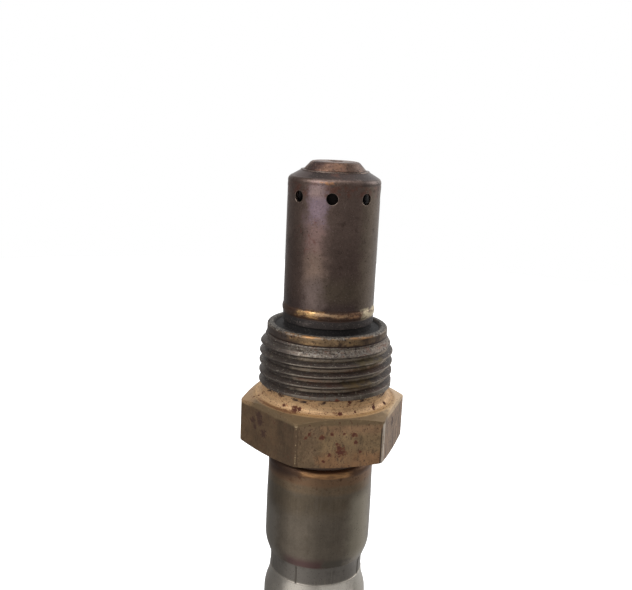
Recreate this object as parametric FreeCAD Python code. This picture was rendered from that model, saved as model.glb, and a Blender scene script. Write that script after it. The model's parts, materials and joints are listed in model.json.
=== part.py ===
import FreeCAD, Part
import math
import os

# Nitrogen oxide sensor probe for an exhaust pipe, with a swivel nut that is free to turn.
# The origin is the centre of the seat collar's front rim, and +Z runs to the gas tip.
# Lengths are millimetres. Azimuth 0 is the side towards -Y, and it grows towards +X.

# Clearances
SEAT_GAP = 0.03
NUT_BORE_GAP = 0.08
NUT_END_GAP = 0.05
SLOT_GAP = 0.06
NOSE_GAP = 0.05

# Outer protection tube
OUTER_TUBE_RADIUS = 6.7
OUTER_TUBE_WALL = 0.4
OUTER_TUBE_FOOT = 0.6
OUTER_TUBE_LENGTH = 21.95
BEAD_HEIGHT = 0.03
BEAD_LENGTH = 0.9
SHOULDER_RISE = 1.75
SHOULDER_ROUND_RADIUS = 6.2
SHOULDER_ROUND_RISE = 0.9
TUBE_LIP_RADIUS = 4.95
TUBE_LIP_RISE = 0.12
GAS_HOLE_COUNT = 8
GAS_HOLE_RADIUS = 0.82
GAS_HOLE_HEIGHT = 19.0
GAS_HOLE_AZIMUTH = -2.6
WELD_CENTRE = 2.4
WELD_WIDTH = 1.2
WELD_HEIGHT = 0.14

# Inner protection tube
INNER_TUBE_WALL = 0.35
INNER_TUBE_RADIUS = 5.1
INNER_FOOT_LENGTH = 3.9
INNER_NECK_LENGTH = 1.0
INNER_SHOULDER_HEIGHT = 21.3
INNER_SHOULDER_RISE = 0.8
NOSE_RADIUS = 4.45
NOSE_BASE = 22.65
NOSE_TOP = 23.8
NOSE_TOP_RADIUS = 3.4
NOSE_ROUND = 0.35
OUTLET_RADIUS = 1.1
INLET_COUNT = 6
INLET_RADIUS = 0.8
INLET_HEIGHT = 7.2

# Sensor shell with its seat collar
COLLAR_RADIUS = 8.94
COLLAR_THICKNESS = 1.4
COLLAR_ROUND = 0.4
RIM_WIDTH = 0.45
DISH_DEPTH = 0.4
DISH_SLOPE = 0.45
ROOT_RING_RADIUS = 6.5
SHELL_NECK_RADIUS = 7.4
SPIGOT_TOP = 4.4
SPIGOT_BORE_RADIUS = 4.85
SHELL_BORE_RADIUS = 5.6
SHELL_LEDGE = -3.6
SHELL_THIN_LENGTH = 0.9
SHELL_THIN_RADIUS = 6.7
SHELL_LIP_RADIUS = 4.75
SHELL_LIP_THICKNESS = 1.0

# Swivel nut, M20 x 1.5 and 22 mm across its flats
THREAD_MAJOR_RADIUS = 9.95
THREAD_PITCH = 1.5
THREAD_ROOT_RADIUS = 9.08
THREAD_FLANK_ANGLE = 30.0
THREAD_CREST_FLAT = 0.19
THREAD_PHASE_HEIGHT = -4.0
THREAD_LEAD_LENGTH = 1.7
THREAD_END = -8.85
CUTTER_OVERSHOOT = 0.1
NUT_RELIEF_RADIUS = 9.45
NUT_RELIEF_LENGTH = 1.2
NUT_RELIEF_FILLET = 0.95
HEX_ACROSS_FLATS = 22.0
HEX_LENGTH = 7.55
HEX_CORNER_AZIMUTH = -17.6
HEX_FACE_RADIUS = 10.5
HEX_FRONT_CHAMFER = 0.75
HEX_REAR_CHAMFER = 0.5
HEX_CORNER_RADIUS = 12.55
NUT_BORE_CHAMFER = 0.4

# Rear sleeve, swaged on at the front and crimped twice
NUT_END_PLAY = 1.9
SLEEVE_WALL = 0.6
SLEEVE_EDGE = 0.12
SLEEVE_FRONT_ROUND = 1.1
SLEEVE_FRONT_RADIUS = 8.0
SLEEVE_BARREL_RADIUS = 8.1
SLEEVE_BARREL_HEIGHT = -29.0
SLEEVE_REAR = -62.0
SLEEVE_TAIL_RADIUS = 8.0
CRIMP_CENTRE = -38.6
CRIMP_RADIUS = 7.22
CRIMP_LAND = 1.4
CRIMP_FRONT_RAMP = 4.4
CRIMP_REAR_RAMP = 4.3
JAW_COUNT = 8
JAW_AZIMUTH = -24.5
JAW_RIDGE_WIDTH = 0.2
JAW_DEPTH = 0.07
JAW_FRONT = -36.3
JAW_LENGTH = 3.05
GROMMET_CRIMP_CENTRE = -56.5
GROMMET_CRIMP_RADIUS = 7.5
GROMMET_CRIMP_LAND = 1.6
GROMMET_CRIMP_RAMP = 2.0

# Sensing element and its packing
ELEMENT_WIDTH = 4.2
ELEMENT_THICKNESS = 1.3
ELEMENT_FRONT = 18.5
ELEMENT_LENGTH = 64.0
ELEMENT_CHAMFER = 0.25
CUP_WALL = 0.35
CUP_LENGTH = 11.4
CUP_HOLE_RADIUS = 2.9
FRONT_CERAMIC_LENGTH = 4.5
TALC_LENGTH = 3.6
REAR_TALC_LENGTH = 5.2
REAR_CERAMIC_FLANGE_LENGTH = 6.2
REAR_CERAMIC_RADIUS = 4.4
REAR_CERAMIC_TAIL = 7.6
PACKING_LENGTH = 1.8

# Contact holder, its ring and the contacts
HOLDER_GAP = 1.0
HOLDER_FLANGE_RADIUS = 6.9
HOLDER_FLANGE_LENGTH = 3.2
HOLDER_RADIUS = 5.9
HOLDER_LENGTH = 13.4
HOLDER_FRONT_WALL = 1.0
HOLDER_RING_LENGTH = 5.0
CONTACT_ROW = 4
CONTACT_PITCH = 1.1
CONTACT_WIDTH = 0.7
CONTACT_SHEET = 0.25
CONTACT_BACK = 2.3
CONTACT_FOLD = 1.15
CONTACT_FRONT_GAP = 0.3
CONTACT_TOUCH_DEPTH = 6.0
CONTACT_LIFT = 0.5
CONTACT_TAIL_DEPTH = 9.5
FAN_LENGTH = 1.8
BARREL_PITCH = 1.9
BARREL_RADIUS = 0.75
BARREL_BORE_RADIUS = 0.5
BARREL_LENGTH = 2.4

# Wire grommet
GROMMET_GAP = 0.6
GROMMET_PROUD = 0.7
GROMMET_EDGE = 0.5
WIRE_HOLE_COUNT = 8
WIRE_HOLE_RADIUS = 0.85
WIRE_CIRCLE_RADIUS = 4.5

# Places that follow from the sizes above
ORIGIN = FreeCAD.Vector(0, 0, 0)
UP = FreeCAD.Vector(0, 0, 1)
TUBE_TOP = OUTER_TUBE_FOOT + OUTER_TUBE_LENGTH
TUBE_BORE_RADIUS = OUTER_TUBE_RADIUS - OUTER_TUBE_WALL
INNER_FOOT_RADIUS = TUBE_BORE_RADIUS - SEAT_GAP
SPIGOT_RADIUS = INNER_FOOT_RADIUS - INNER_TUBE_WALL - SEAT_GAP
NUT_FRONT = -COLLAR_THICKNESS - NUT_END_GAP
NUT_BORE_RADIUS = SHELL_NECK_RADIUS + NUT_BORE_GAP
RELIEF_END = THREAD_END - NUT_RELIEF_LENGTH
HEX_FRONT = RELIEF_END - NUT_RELIEF_FILLET
NUT_REAR = HEX_FRONT - HEX_LENGTH
SLEEVE_FRONT = NUT_REAR - NUT_END_PLAY
SLEEVE_BORE_RADIUS = SHELL_NECK_RADIUS + SEAT_GAP
CUP_RADIUS = SHELL_BORE_RADIUS - SEAT_GAP
CUP_BORE_RADIUS = CUP_RADIUS - CUP_WALL
CUP_FILL_RADIUS = CUP_BORE_RADIUS - SEAT_GAP
CUP_FLOOR = SHELL_LEDGE - CUP_WALL
TALC_FRONT = CUP_FLOOR - FRONT_CERAMIC_LENGTH
REAR_TALC_FRONT = TALC_FRONT - TALC_LENGTH
CUP_REAR = SHELL_LEDGE - CUP_LENGTH
REAR_CERAMIC_FRONT = REAR_TALC_FRONT - REAR_TALC_LENGTH
PACKING_FRONT = REAR_CERAMIC_FRONT - REAR_CERAMIC_FLANGE_LENGTH
REAR_CERAMIC_REAR = PACKING_FRONT - REAR_CERAMIC_TAIL
SHELL_LIP_FRONT = PACKING_FRONT - PACKING_LENGTH
SHELL_STEP = SHELL_LIP_FRONT + SHELL_THIN_LENGTH
HOLDER_FRONT = REAR_CERAMIC_REAR - HOLDER_GAP
HOLDER_STEP = HOLDER_FRONT - HOLDER_FLANGE_LENGTH
HOLDER_REAR = HOLDER_FRONT - HOLDER_LENGTH
ELEMENT_REAR = ELEMENT_FRONT - ELEMENT_LENGTH
FAN_FRONT = HOLDER_REAR - CONTACT_FRONT_GAP
BARREL_FRONT = FAN_FRONT - FAN_LENGTH
GROMMET_FRONT = BARREL_FRONT - BARREL_LENGTH - GROMMET_GAP
GROMMET_REAR = SLEEVE_REAR - GROMMET_PROUD


class Outline:
    """Closed half section that is turned about the Z axis, given as radius and height."""

    def __init__(self, radius, height):
        self.start = FreeCAD.Vector(radius, 0, height)
        self.here = self.start
        self.edges = []

    def line_to(self, radius, height):
        there = FreeCAD.Vector(radius, 0, height)
        self.edges.append(Part.LineSegment(self.here, there).toShape())
        self.here = there
        return self

    def arc_to(self, through, end):
        middle = FreeCAD.Vector(through[0], 0, through[1])
        there = FreeCAD.Vector(end[0], 0, end[1])
        self.edges.append(Part.Arc(self.here, middle, there).toShape())
        self.here = there
        return self

    def round_to(self, radius, height):
        """Quarter ellipse that leaves along Z and arrives along the radius."""
        half_turn = math.sqrt(0.5)
        across = (radius - self.here.x) * (1 - half_turn)
        along = (height - self.here.z) * half_turn
        return self.arc_to((self.here.x + across, self.here.z + along), (radius, height))

    def round_out_to(self, radius, height):
        """Quarter ellipse that leaves along the radius and arrives along Z."""
        half_turn = math.sqrt(0.5)
        across = (radius - self.here.x) * half_turn
        along = (height - self.here.z) * (1 - half_turn)
        return self.arc_to((self.here.x + across, self.here.z + along), (radius, height))

    def swage_to(self, radius, height):
        """Two arcs that meet halfway, both parallel to the axis at their outer ends."""
        step = radius - self.here.x
        run = height - self.here.z
        if abs(step) < 1e-6:
            return self.line_to(radius, height)
        arc_radius = (step * step + run * run) / (4 * abs(step))
        quarter_angle = math.atan2(abs(step), abs(run))
        sink = math.copysign(arc_radius * (1 - math.cos(quarter_angle)), step)
        reach = math.copysign(arc_radius * math.sin(quarter_angle), run)
        start = self.here
        halfway = (start.x + step / 2, start.z + run / 2)
        self.arc_to((start.x + sink, start.z + reach), halfway)
        return self.arc_to((radius - sink, height - reach), (radius, height))

    def round_corner(self, corner, after, reach):
        """Line towards a corner, and an arc round it that ends on the way to the next point."""
        turning = FreeCAD.Vector(corner[0], 0, corner[1])
        arriving = (turning - self.here).normalize()
        leaving = (FreeCAD.Vector(after[0], 0, after[1]) - turning).normalize()
        inwards = (leaving - arriving).normalize()
        quarter_turn = arriving.getAngle(leaving) / 4
        start = turning - arriving * reach
        middle = turning + inwards * (reach * math.tan(quarter_turn))
        end = turning + leaving * reach
        self.line_to(start.x, start.z)
        return self.arc_to((middle.x, middle.z), (end.x, end.z))

    def turned(self):
        if (self.here - self.start).Length > 1e-7:
            self.line_to(self.start.x, self.start.z)
        return Part.Face(Part.Wire(self.edges)).revolve(ORIGIN, UP, 360)


def ring(outer_radius, inner_radius, front, rear):
    """Plain ring between two heights."""
    outline = Outline(outer_radius, front)
    outline.line_to(outer_radius, rear)
    outline.line_to(inner_radius, rear)
    outline.line_to(inner_radius, front)
    return outline.turned()


def box_between(low, high):
    """Box from its lowest corner to its highest corner."""
    size = [end - start for start, end in zip(low, high)]
    return Part.makeBox(size[0], size[1], size[2], FreeCAD.Vector(*low))


def at_azimuth(shape, azimuth):
    """Copy of a shape that was made on the -Y side, turned to an azimuth."""
    turned = shape.copy()
    turned.rotate(ORIGIN, UP, azimuth)
    return turned


def radial_holes(count, hole_radius, height, first_azimuth, inner_reach, outer_reach):
    """Drills that point outwards, evenly spaced round the axis."""
    start = FreeCAD.Vector(0, -inner_reach, height)
    outwards = FreeCAD.Vector(0, -1, 0)
    drill = Part.makeCylinder(hole_radius, outer_reach - inner_reach, start, outwards)
    pitch = 360.0 / count
    return [at_azimuth(drill, first_azimuth + pitch * index) for index in range(count)]


def element_slot(front, rear, gap=SLOT_GAP):
    """Rectangular hole that the sensing element passes through."""
    half_width = ELEMENT_WIDTH / 2 + gap
    half_thickness = ELEMENT_THICKNESS / 2 + gap
    overshoot = 1.0
    low = (-half_width, -half_thickness, rear - overshoot)
    high = (half_width, half_thickness, front + overshoot)
    return box_between(low, high)


def outer_protection_tube():
    shoulder = TUBE_TOP - SHOULDER_RISE
    bead_radius = OUTER_TUBE_RADIUS + BEAD_HEIGHT
    bead_foot = shoulder - BEAD_LENGTH
    weld_radius = OUTER_TUBE_RADIUS + WELD_HEIGHT
    opening_radius = NOSE_RADIUS + NOSE_GAP
    end_wall = TUBE_TOP - OUTER_TUBE_WALL
    outline = Outline(OUTER_TUBE_RADIUS, OUTER_TUBE_FOOT)
    outline.line_to(OUTER_TUBE_RADIUS, WELD_CENTRE - WELD_WIDTH / 2)
    outline.arc_to((weld_radius, WELD_CENTRE), (OUTER_TUBE_RADIUS, WELD_CENTRE + WELD_WIDTH / 2))
    outline.line_to(OUTER_TUBE_RADIUS, bead_foot)
    outline.arc_to((bead_radius, bead_foot + BEAD_LENGTH / 2), (OUTER_TUBE_RADIUS, shoulder))
    outline.round_to(SHOULDER_ROUND_RADIUS, shoulder + SHOULDER_ROUND_RISE)
    outline.line_to(TUBE_LIP_RADIUS, TUBE_TOP - TUBE_LIP_RISE)
    outline.line_to(TUBE_LIP_RADIUS, TUBE_TOP)
    outline.line_to(opening_radius, TUBE_TOP)
    outline.line_to(opening_radius, end_wall)
    outline.line_to(TUBE_LIP_RADIUS, end_wall)
    outline.line_to(TUBE_BORE_RADIUS, shoulder)
    outline.line_to(TUBE_BORE_RADIUS, OUTER_TUBE_FOOT)
    tube = outline.turned()
    drills = radial_holes(
        GAS_HOLE_COUNT,
        GAS_HOLE_RADIUS,
        GAS_HOLE_HEIGHT,
        GAS_HOLE_AZIMUTH,
        INNER_TUBE_RADIUS,
        2 * OUTER_TUBE_RADIUS,
    )
    return tube.cut(drills)


def inner_protection_tube():
    foot_top = OUTER_TUBE_FOOT + INNER_FOOT_LENGTH
    neck_top = foot_top + INNER_NECK_LENGTH
    nose_foot = INNER_SHOULDER_HEIGHT + INNER_SHOULDER_RISE
    wall = INNER_TUBE_WALL
    outline = Outline(INNER_FOOT_RADIUS, OUTER_TUBE_FOOT)
    outline.line_to(INNER_FOOT_RADIUS, foot_top)
    outline.swage_to(INNER_TUBE_RADIUS, neck_top)
    outline.line_to(INNER_TUBE_RADIUS, INNER_SHOULDER_HEIGHT)
    outline.swage_to(NOSE_RADIUS, nose_foot)
    outline.line_to(NOSE_RADIUS, NOSE_BASE)
    outline.round_corner((NOSE_TOP_RADIUS, NOSE_TOP), (OUTLET_RADIUS, NOSE_TOP), NOSE_ROUND)
    outline.line_to(OUTLET_RADIUS, NOSE_TOP)
    outline.line_to(OUTLET_RADIUS, NOSE_TOP - wall)
    outline.line_to(NOSE_TOP_RADIUS - wall / 2, NOSE_TOP - wall)
    outline.line_to(NOSE_RADIUS - wall, NOSE_BASE)
    outline.line_to(NOSE_RADIUS - wall, nose_foot)
    outline.swage_to(INNER_TUBE_RADIUS - wall, INNER_SHOULDER_HEIGHT)
    outline.line_to(INNER_TUBE_RADIUS - wall, neck_top)
    outline.swage_to(INNER_FOOT_RADIUS - wall, foot_top)
    outline.line_to(INNER_FOOT_RADIUS - wall, OUTER_TUBE_FOOT)
    tube = outline.turned()
    reach_in = ELEMENT_WIDTH / 2
    drills = radial_holes(
        INLET_COUNT, INLET_RADIUS, INLET_HEIGHT, 0, reach_in, TUBE_BORE_RADIUS
    )
    return tube.cut(drills)


def sensor_shell():
    rim_radius = COLLAR_RADIUS - COLLAR_ROUND - RIM_WIDTH
    outline = Outline(SPIGOT_RADIUS, SPIGOT_TOP)
    outline.line_to(SPIGOT_RADIUS, OUTER_TUBE_FOOT)
    outline.line_to(ROOT_RING_RADIUS, OUTER_TUBE_FOOT)
    outline.line_to(ROOT_RING_RADIUS, -DISH_DEPTH)
    outline.line_to(rim_radius - DISH_SLOPE, -DISH_DEPTH)
    outline.line_to(rim_radius, 0)
    outline.line_to(COLLAR_RADIUS - COLLAR_ROUND, 0)
    outline.round_out_to(COLLAR_RADIUS, -COLLAR_ROUND)
    outline.line_to(COLLAR_RADIUS, -COLLAR_THICKNESS)
    outline.line_to(SHELL_NECK_RADIUS, -COLLAR_THICKNESS)
    outline.line_to(SHELL_NECK_RADIUS, SHELL_STEP)
    outline.line_to(SHELL_THIN_RADIUS, SHELL_STEP)
    outline.line_to(SHELL_THIN_RADIUS, SHELL_LIP_FRONT)
    outline.round_to(SHELL_LIP_RADIUS, SHELL_LIP_FRONT - SHELL_LIP_THICKNESS)
    outline.line_to(SHELL_LIP_RADIUS, SHELL_LIP_FRONT)
    outline.line_to(SHELL_BORE_RADIUS, SHELL_LIP_FRONT)
    outline.line_to(SHELL_BORE_RADIUS, SHELL_LEDGE)
    outline.line_to(SPIGOT_BORE_RADIUS, SHELL_LEDGE)
    outline.line_to(SPIGOT_BORE_RADIUS, SPIGOT_TOP)
    return outline.turned()


def hex_prism():
    """Hexagon with blunt corners and a chamfer at each end."""
    corner = HEX_ACROSS_FLATS / math.sqrt(3)
    points = []
    for index in range(7):
        angle = math.radians(HEX_CORNER_AZIMUTH + 60 * index)
        points.append(FreeCAD.Vector(corner * math.sin(angle), -corner * math.cos(angle), NUT_REAR))
    prism = Part.Face(Part.makePolygon(points)).extrude(UP * HEX_LENGTH)
    envelope = Outline(0, HEX_FRONT)
    envelope.line_to(HEX_FACE_RADIUS, HEX_FRONT)
    envelope.line_to(HEX_CORNER_RADIUS, HEX_FRONT - HEX_FRONT_CHAMFER)
    envelope.line_to(HEX_CORNER_RADIUS, NUT_REAR + HEX_REAR_CHAMFER)
    envelope.line_to(HEX_FACE_RADIUS, NUT_REAR)
    envelope.line_to(0, NUT_REAR)
    return prism.common(envelope.turned())


def thread_cutter():
    """Groove of the right-hand thread, swept down to the end of the full thread."""
    flank = math.tan(math.radians(THREAD_FLANK_ANGLE))
    outer = THREAD_MAJOR_RADIUS + CUTTER_OVERSHOOT
    crest_half = (THREAD_PITCH - THREAD_CREST_FLAT) / 2
    outer_half = crest_half + CUTTER_OVERSHOOT * flank
    root_half = crest_half - (THREAD_MAJOR_RADIUS - THREAD_ROOT_RADIUS) * flank
    turns = math.ceil((NUT_FRONT - THREAD_END) / THREAD_PITCH)
    helix = Part.makeLongHelix(THREAD_PITCH, turns * THREAD_PITCH, THREAD_MAJOR_RADIUS)
    corners = [
        FreeCAD.Vector(THREAD_ROOT_RADIUS, 0, -root_half),
        FreeCAD.Vector(outer, 0, -outer_half),
        FreeCAD.Vector(outer, 0, outer_half),
        FreeCAD.Vector(THREAD_ROOT_RADIUS, 0, root_half),
    ]
    section = Part.makePolygon(corners + corners[:1])
    cutter = Part.Wire(helix.Edges).makePipeShell([section], True, True)
    # The groove ends on the far side. Half a turn round from a crest on the near side, the
    # groove has the crest's own height.
    cutter.rotate(ORIGIN, UP, 90)
    whole_pitches = math.floor((THREAD_PHASE_HEIGHT - THREAD_END) / THREAD_PITCH)
    cutter.translate(UP * (THREAD_PHASE_HEIGHT - whole_pitches * THREAD_PITCH))
    return cutter


def swivel_nut():
    lead_radius = COLLAR_RADIUS
    outline = Outline(lead_radius, NUT_FRONT)
    outline.line_to(THREAD_MAJOR_RADIUS, NUT_FRONT - THREAD_LEAD_LENGTH)
    outline.line_to(THREAD_MAJOR_RADIUS, THREAD_END)
    outline.line_to(NUT_RELIEF_RADIUS, THREAD_END - (THREAD_MAJOR_RADIUS - NUT_RELIEF_RADIUS) / 2)
    outline.line_to(NUT_RELIEF_RADIUS, RELIEF_END)
    outline.round_to(NUT_RELIEF_RADIUS + NUT_RELIEF_FILLET, HEX_FRONT)
    outline.line_to(0, HEX_FRONT)
    outline.line_to(0, NUT_FRONT)
    barrel = outline.turned().cut(thread_cutter())
    chamfer_radius = NUT_BORE_RADIUS + NUT_BORE_CHAMFER
    bore = Outline(0, NUT_FRONT)
    bore.line_to(chamfer_radius, NUT_FRONT)
    bore.line_to(NUT_BORE_RADIUS, NUT_FRONT - NUT_BORE_CHAMFER)
    bore.line_to(NUT_BORE_RADIUS, NUT_REAR + NUT_BORE_CHAMFER)
    bore.line_to(chamfer_radius, NUT_REAR)
    bore.line_to(0, NUT_REAR)
    return barrel.fuse(hex_prism()).cut(bore.turned())


def follow_sleeve(outline, inset, front, rear):
    """Adds the sleeve's outer line from front to rear, moved inwards by an inset."""
    crimp_front = CRIMP_CENTRE + CRIMP_LAND / 2
    crimp_rear = CRIMP_CENTRE - CRIMP_LAND / 2
    tail_front = GROMMET_CRIMP_CENTRE + GROMMET_CRIMP_LAND / 2
    tail_rear = GROMMET_CRIMP_CENTRE - GROMMET_CRIMP_LAND / 2
    barrel = SLEEVE_BARREL_RADIUS - inset
    tail = SLEEVE_TAIL_RADIUS - inset
    waist = CRIMP_RADIUS - inset
    tail_waist = GROMMET_CRIMP_RADIUS - inset
    if front > crimp_front:
        outline.line_to(barrel, crimp_front + CRIMP_FRONT_RAMP)
        outline.swage_to(waist, crimp_front)
        outline.line_to(waist, crimp_rear)
        outline.swage_to(tail, crimp_rear - CRIMP_REAR_RAMP)
    outline.line_to(tail, tail_front + GROMMET_CRIMP_RAMP)
    outline.swage_to(tail_waist, tail_front)
    outline.line_to(tail_waist, tail_rear)
    outline.swage_to(tail, tail_rear - GROMMET_CRIMP_RAMP)
    return outline.line_to(tail, rear)


def sleeve_body(inset=0):
    """Solid of the sleeve's outer form, smaller by an inset."""
    edge_radius = SLEEVE_BORE_RADIUS + SLEEVE_EDGE - inset
    front_radius = SLEEVE_FRONT_RADIUS - inset
    round_end = SLEEVE_FRONT - SLEEVE_FRONT_ROUND
    slope = math.sqrt(0.5)
    through_radius = edge_radius + (front_radius - edge_radius) * slope
    through_height = SLEEVE_FRONT - SLEEVE_FRONT_ROUND * (1 - slope)
    outline = Outline(0, SLEEVE_FRONT)
    outline.line_to(edge_radius, SLEEVE_FRONT)
    outline.arc_to((through_radius, through_height), (front_radius, round_end))
    outline.swage_to(SLEEVE_BARREL_RADIUS - inset, SLEEVE_BARREL_HEIGHT)
    follow_sleeve(outline, inset, SLEEVE_FRONT, SLEEVE_REAR)
    outline.line_to(0, SLEEVE_REAR)
    return outline.turned()


def sleeve_hollow():
    """Solid of the space inside the sleeve."""
    wide = SLEEVE_BARREL_RADIUS - SLEEVE_WALL
    outline = Outline(0, SLEEVE_FRONT)
    outline.line_to(SLEEVE_BORE_RADIUS, SLEEVE_FRONT)
    outline.line_to(SLEEVE_BORE_RADIUS, SHELL_STEP)
    outline.swage_to(wide, SLEEVE_BARREL_HEIGHT)
    follow_sleeve(outline, SLEEVE_WALL, SLEEVE_FRONT, SLEEVE_REAR)
    outline.line_to(0, SLEEVE_REAR)
    return outline.turned()


def jaw_marks():
    """Shallow band that the crimping jaws press in, but for the thin ridges between them."""
    jaw_rear = JAW_FRONT - JAW_LENGTH
    outside = 2 * SLEEVE_BARREL_RADIUS
    band = Part.makeCylinder(outside, JAW_LENGTH, FreeCAD.Vector(0, 0, jaw_rear))
    low = (-JAW_RIDGE_WIDTH / 2, -outside, jaw_rear)
    high = (JAW_RIDGE_WIDTH / 2, 0, JAW_FRONT)
    ridge = box_between(low, high)
    pitch = 360.0 / JAW_COUNT
    ridges = [at_azimuth(ridge, JAW_AZIMUTH + pitch * index) for index in range(JAW_COUNT)]
    return band.cut(ridges + [sleeve_body(JAW_DEPTH)])


def rear_sleeve():
    return sleeve_body().cut([jaw_marks(), sleeve_hollow()])


def sensing_element():
    low = (-ELEMENT_WIDTH / 2, -ELEMENT_THICKNESS / 2, ELEMENT_REAR)
    high = (ELEMENT_WIDTH / 2, ELEMENT_THICKNESS / 2, ELEMENT_FRONT)
    strip = box_between(low, high)
    tip_edges = [edge for edge in strip.Edges if edge.BoundBox.ZMin > ELEMENT_FRONT - ELEMENT_CHAMFER]
    return strip.makeChamfer(ELEMENT_CHAMFER, tip_edges)


def element_cup():
    outline = Outline(CUP_RADIUS, SHELL_LEDGE)
    outline.line_to(CUP_RADIUS, CUP_REAR)
    outline.line_to(CUP_BORE_RADIUS, CUP_REAR)
    outline.line_to(CUP_BORE_RADIUS, CUP_FLOOR)
    outline.line_to(CUP_HOLE_RADIUS, CUP_FLOOR)
    outline.line_to(CUP_HOLE_RADIUS, SHELL_LEDGE)
    return outline.turned()


def slotted_disc(radius, front, rear):
    """Disc of packing with the element's slot through it."""
    depth = front - rear
    disc = Part.makeCylinder(radius, depth, FreeCAD.Vector(0, 0, rear))
    return disc.cut(element_slot(front, rear))


def rear_talc_ring():
    """Talc that fills the cup to its rim and the shell's bore behind it."""
    outline = Outline(0, REAR_TALC_FRONT)
    outline.line_to(CUP_FILL_RADIUS, REAR_TALC_FRONT)
    outline.line_to(CUP_FILL_RADIUS, CUP_REAR)
    outline.line_to(CUP_RADIUS, CUP_REAR)
    outline.line_to(CUP_RADIUS, REAR_CERAMIC_FRONT)
    outline.line_to(0, REAR_CERAMIC_FRONT)
    return outline.turned().cut(element_slot(REAR_TALC_FRONT, REAR_CERAMIC_FRONT))


def rear_ceramic_sleeve():
    outline = Outline(0, REAR_CERAMIC_FRONT)
    outline.line_to(CUP_RADIUS, REAR_CERAMIC_FRONT)
    outline.line_to(CUP_RADIUS, PACKING_FRONT)
    outline.line_to(REAR_CERAMIC_RADIUS, PACKING_FRONT)
    outline.line_to(REAR_CERAMIC_RADIUS, REAR_CERAMIC_REAR)
    outline.line_to(0, REAR_CERAMIC_REAR)
    return outline.turned().cut(element_slot(REAR_CERAMIC_FRONT, REAR_CERAMIC_REAR))


def packing_ring():
    inner_radius = REAR_CERAMIC_RADIUS + SEAT_GAP
    return ring(CUP_RADIUS, inner_radius, PACKING_FRONT, SHELL_LIP_FRONT)


def contact_places():
    """Pad and barrel offsets of one row of contacts."""
    places = []
    for index in range(CONTACT_ROW):
        from_middle = index - (CONTACT_ROW - 1) / 2
        places.append((from_middle * CONTACT_PITCH, from_middle * BARREL_PITCH))
    return places


def contact_holder():
    outline = Outline(0, HOLDER_FRONT)
    outline.line_to(HOLDER_FLANGE_RADIUS, HOLDER_FRONT)
    outline.line_to(HOLDER_FLANGE_RADIUS, HOLDER_STEP)
    outline.line_to(HOLDER_RADIUS, HOLDER_STEP)
    outline.line_to(HOLDER_RADIUS, HOLDER_REAR)
    outline.line_to(0, HOLDER_REAR)
    holder = outline.turned().cut(element_slot(HOLDER_FRONT, HOLDER_REAR))
    half_width = CONTACT_WIDTH / 2 + SLOT_GAP
    depth = CONTACT_BACK + CONTACT_SHEET / 2 + SLOT_GAP
    slot_front = HOLDER_FRONT - HOLDER_FRONT_WALL
    slots = []
    for pad, _ in contact_places():
        low = (pad - half_width, -depth, HOLDER_REAR - 1)
        high = (pad + half_width, depth, slot_front)
        slots.append(box_between(low, high))
    return holder.cut(slots)


def holder_ring():
    outer_radius = CRIMP_RADIUS - SLEEVE_WALL - SEAT_GAP
    inner_radius = HOLDER_RADIUS + SEAT_GAP
    return ring(outer_radius, inner_radius, HOLDER_STEP, HOLDER_STEP - HOLDER_RING_LENGTH)


def folded_strip(line, sheet, width, middle):
    """Sheet folded along a line of (depth, height) points, with mitred bends."""
    near = []
    far = []
    for index, (depth, height) in enumerate(line):
        before = line[max(index - 1, 0)]
        after = line[min(index + 1, len(line) - 1)]
        arriving = math.atan2(height - before[1], depth - before[0])
        leaving = math.atan2(after[1] - height, after[0] - depth)
        if index == 0:
            arriving = leaving
        if index == len(line) - 1:
            leaving = arriving
        turn = math.remainder(leaving - arriving, 2 * math.pi)
        normal = arriving + turn / 2 + math.pi / 2
        reach = sheet / 2 / math.cos(turn / 2)
        across = reach * math.cos(normal)
        along = reach * math.sin(normal)
        near.append(FreeCAD.Vector(middle - width / 2, depth + across, height + along))
        far.append(FreeCAD.Vector(middle - width / 2, depth - across, height - along))
    corners = near + far[::-1]
    face = Part.Face(Part.makePolygon(corners + corners[:1]))
    return face.extrude(FreeCAD.Vector(width, 0, 0))


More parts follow.
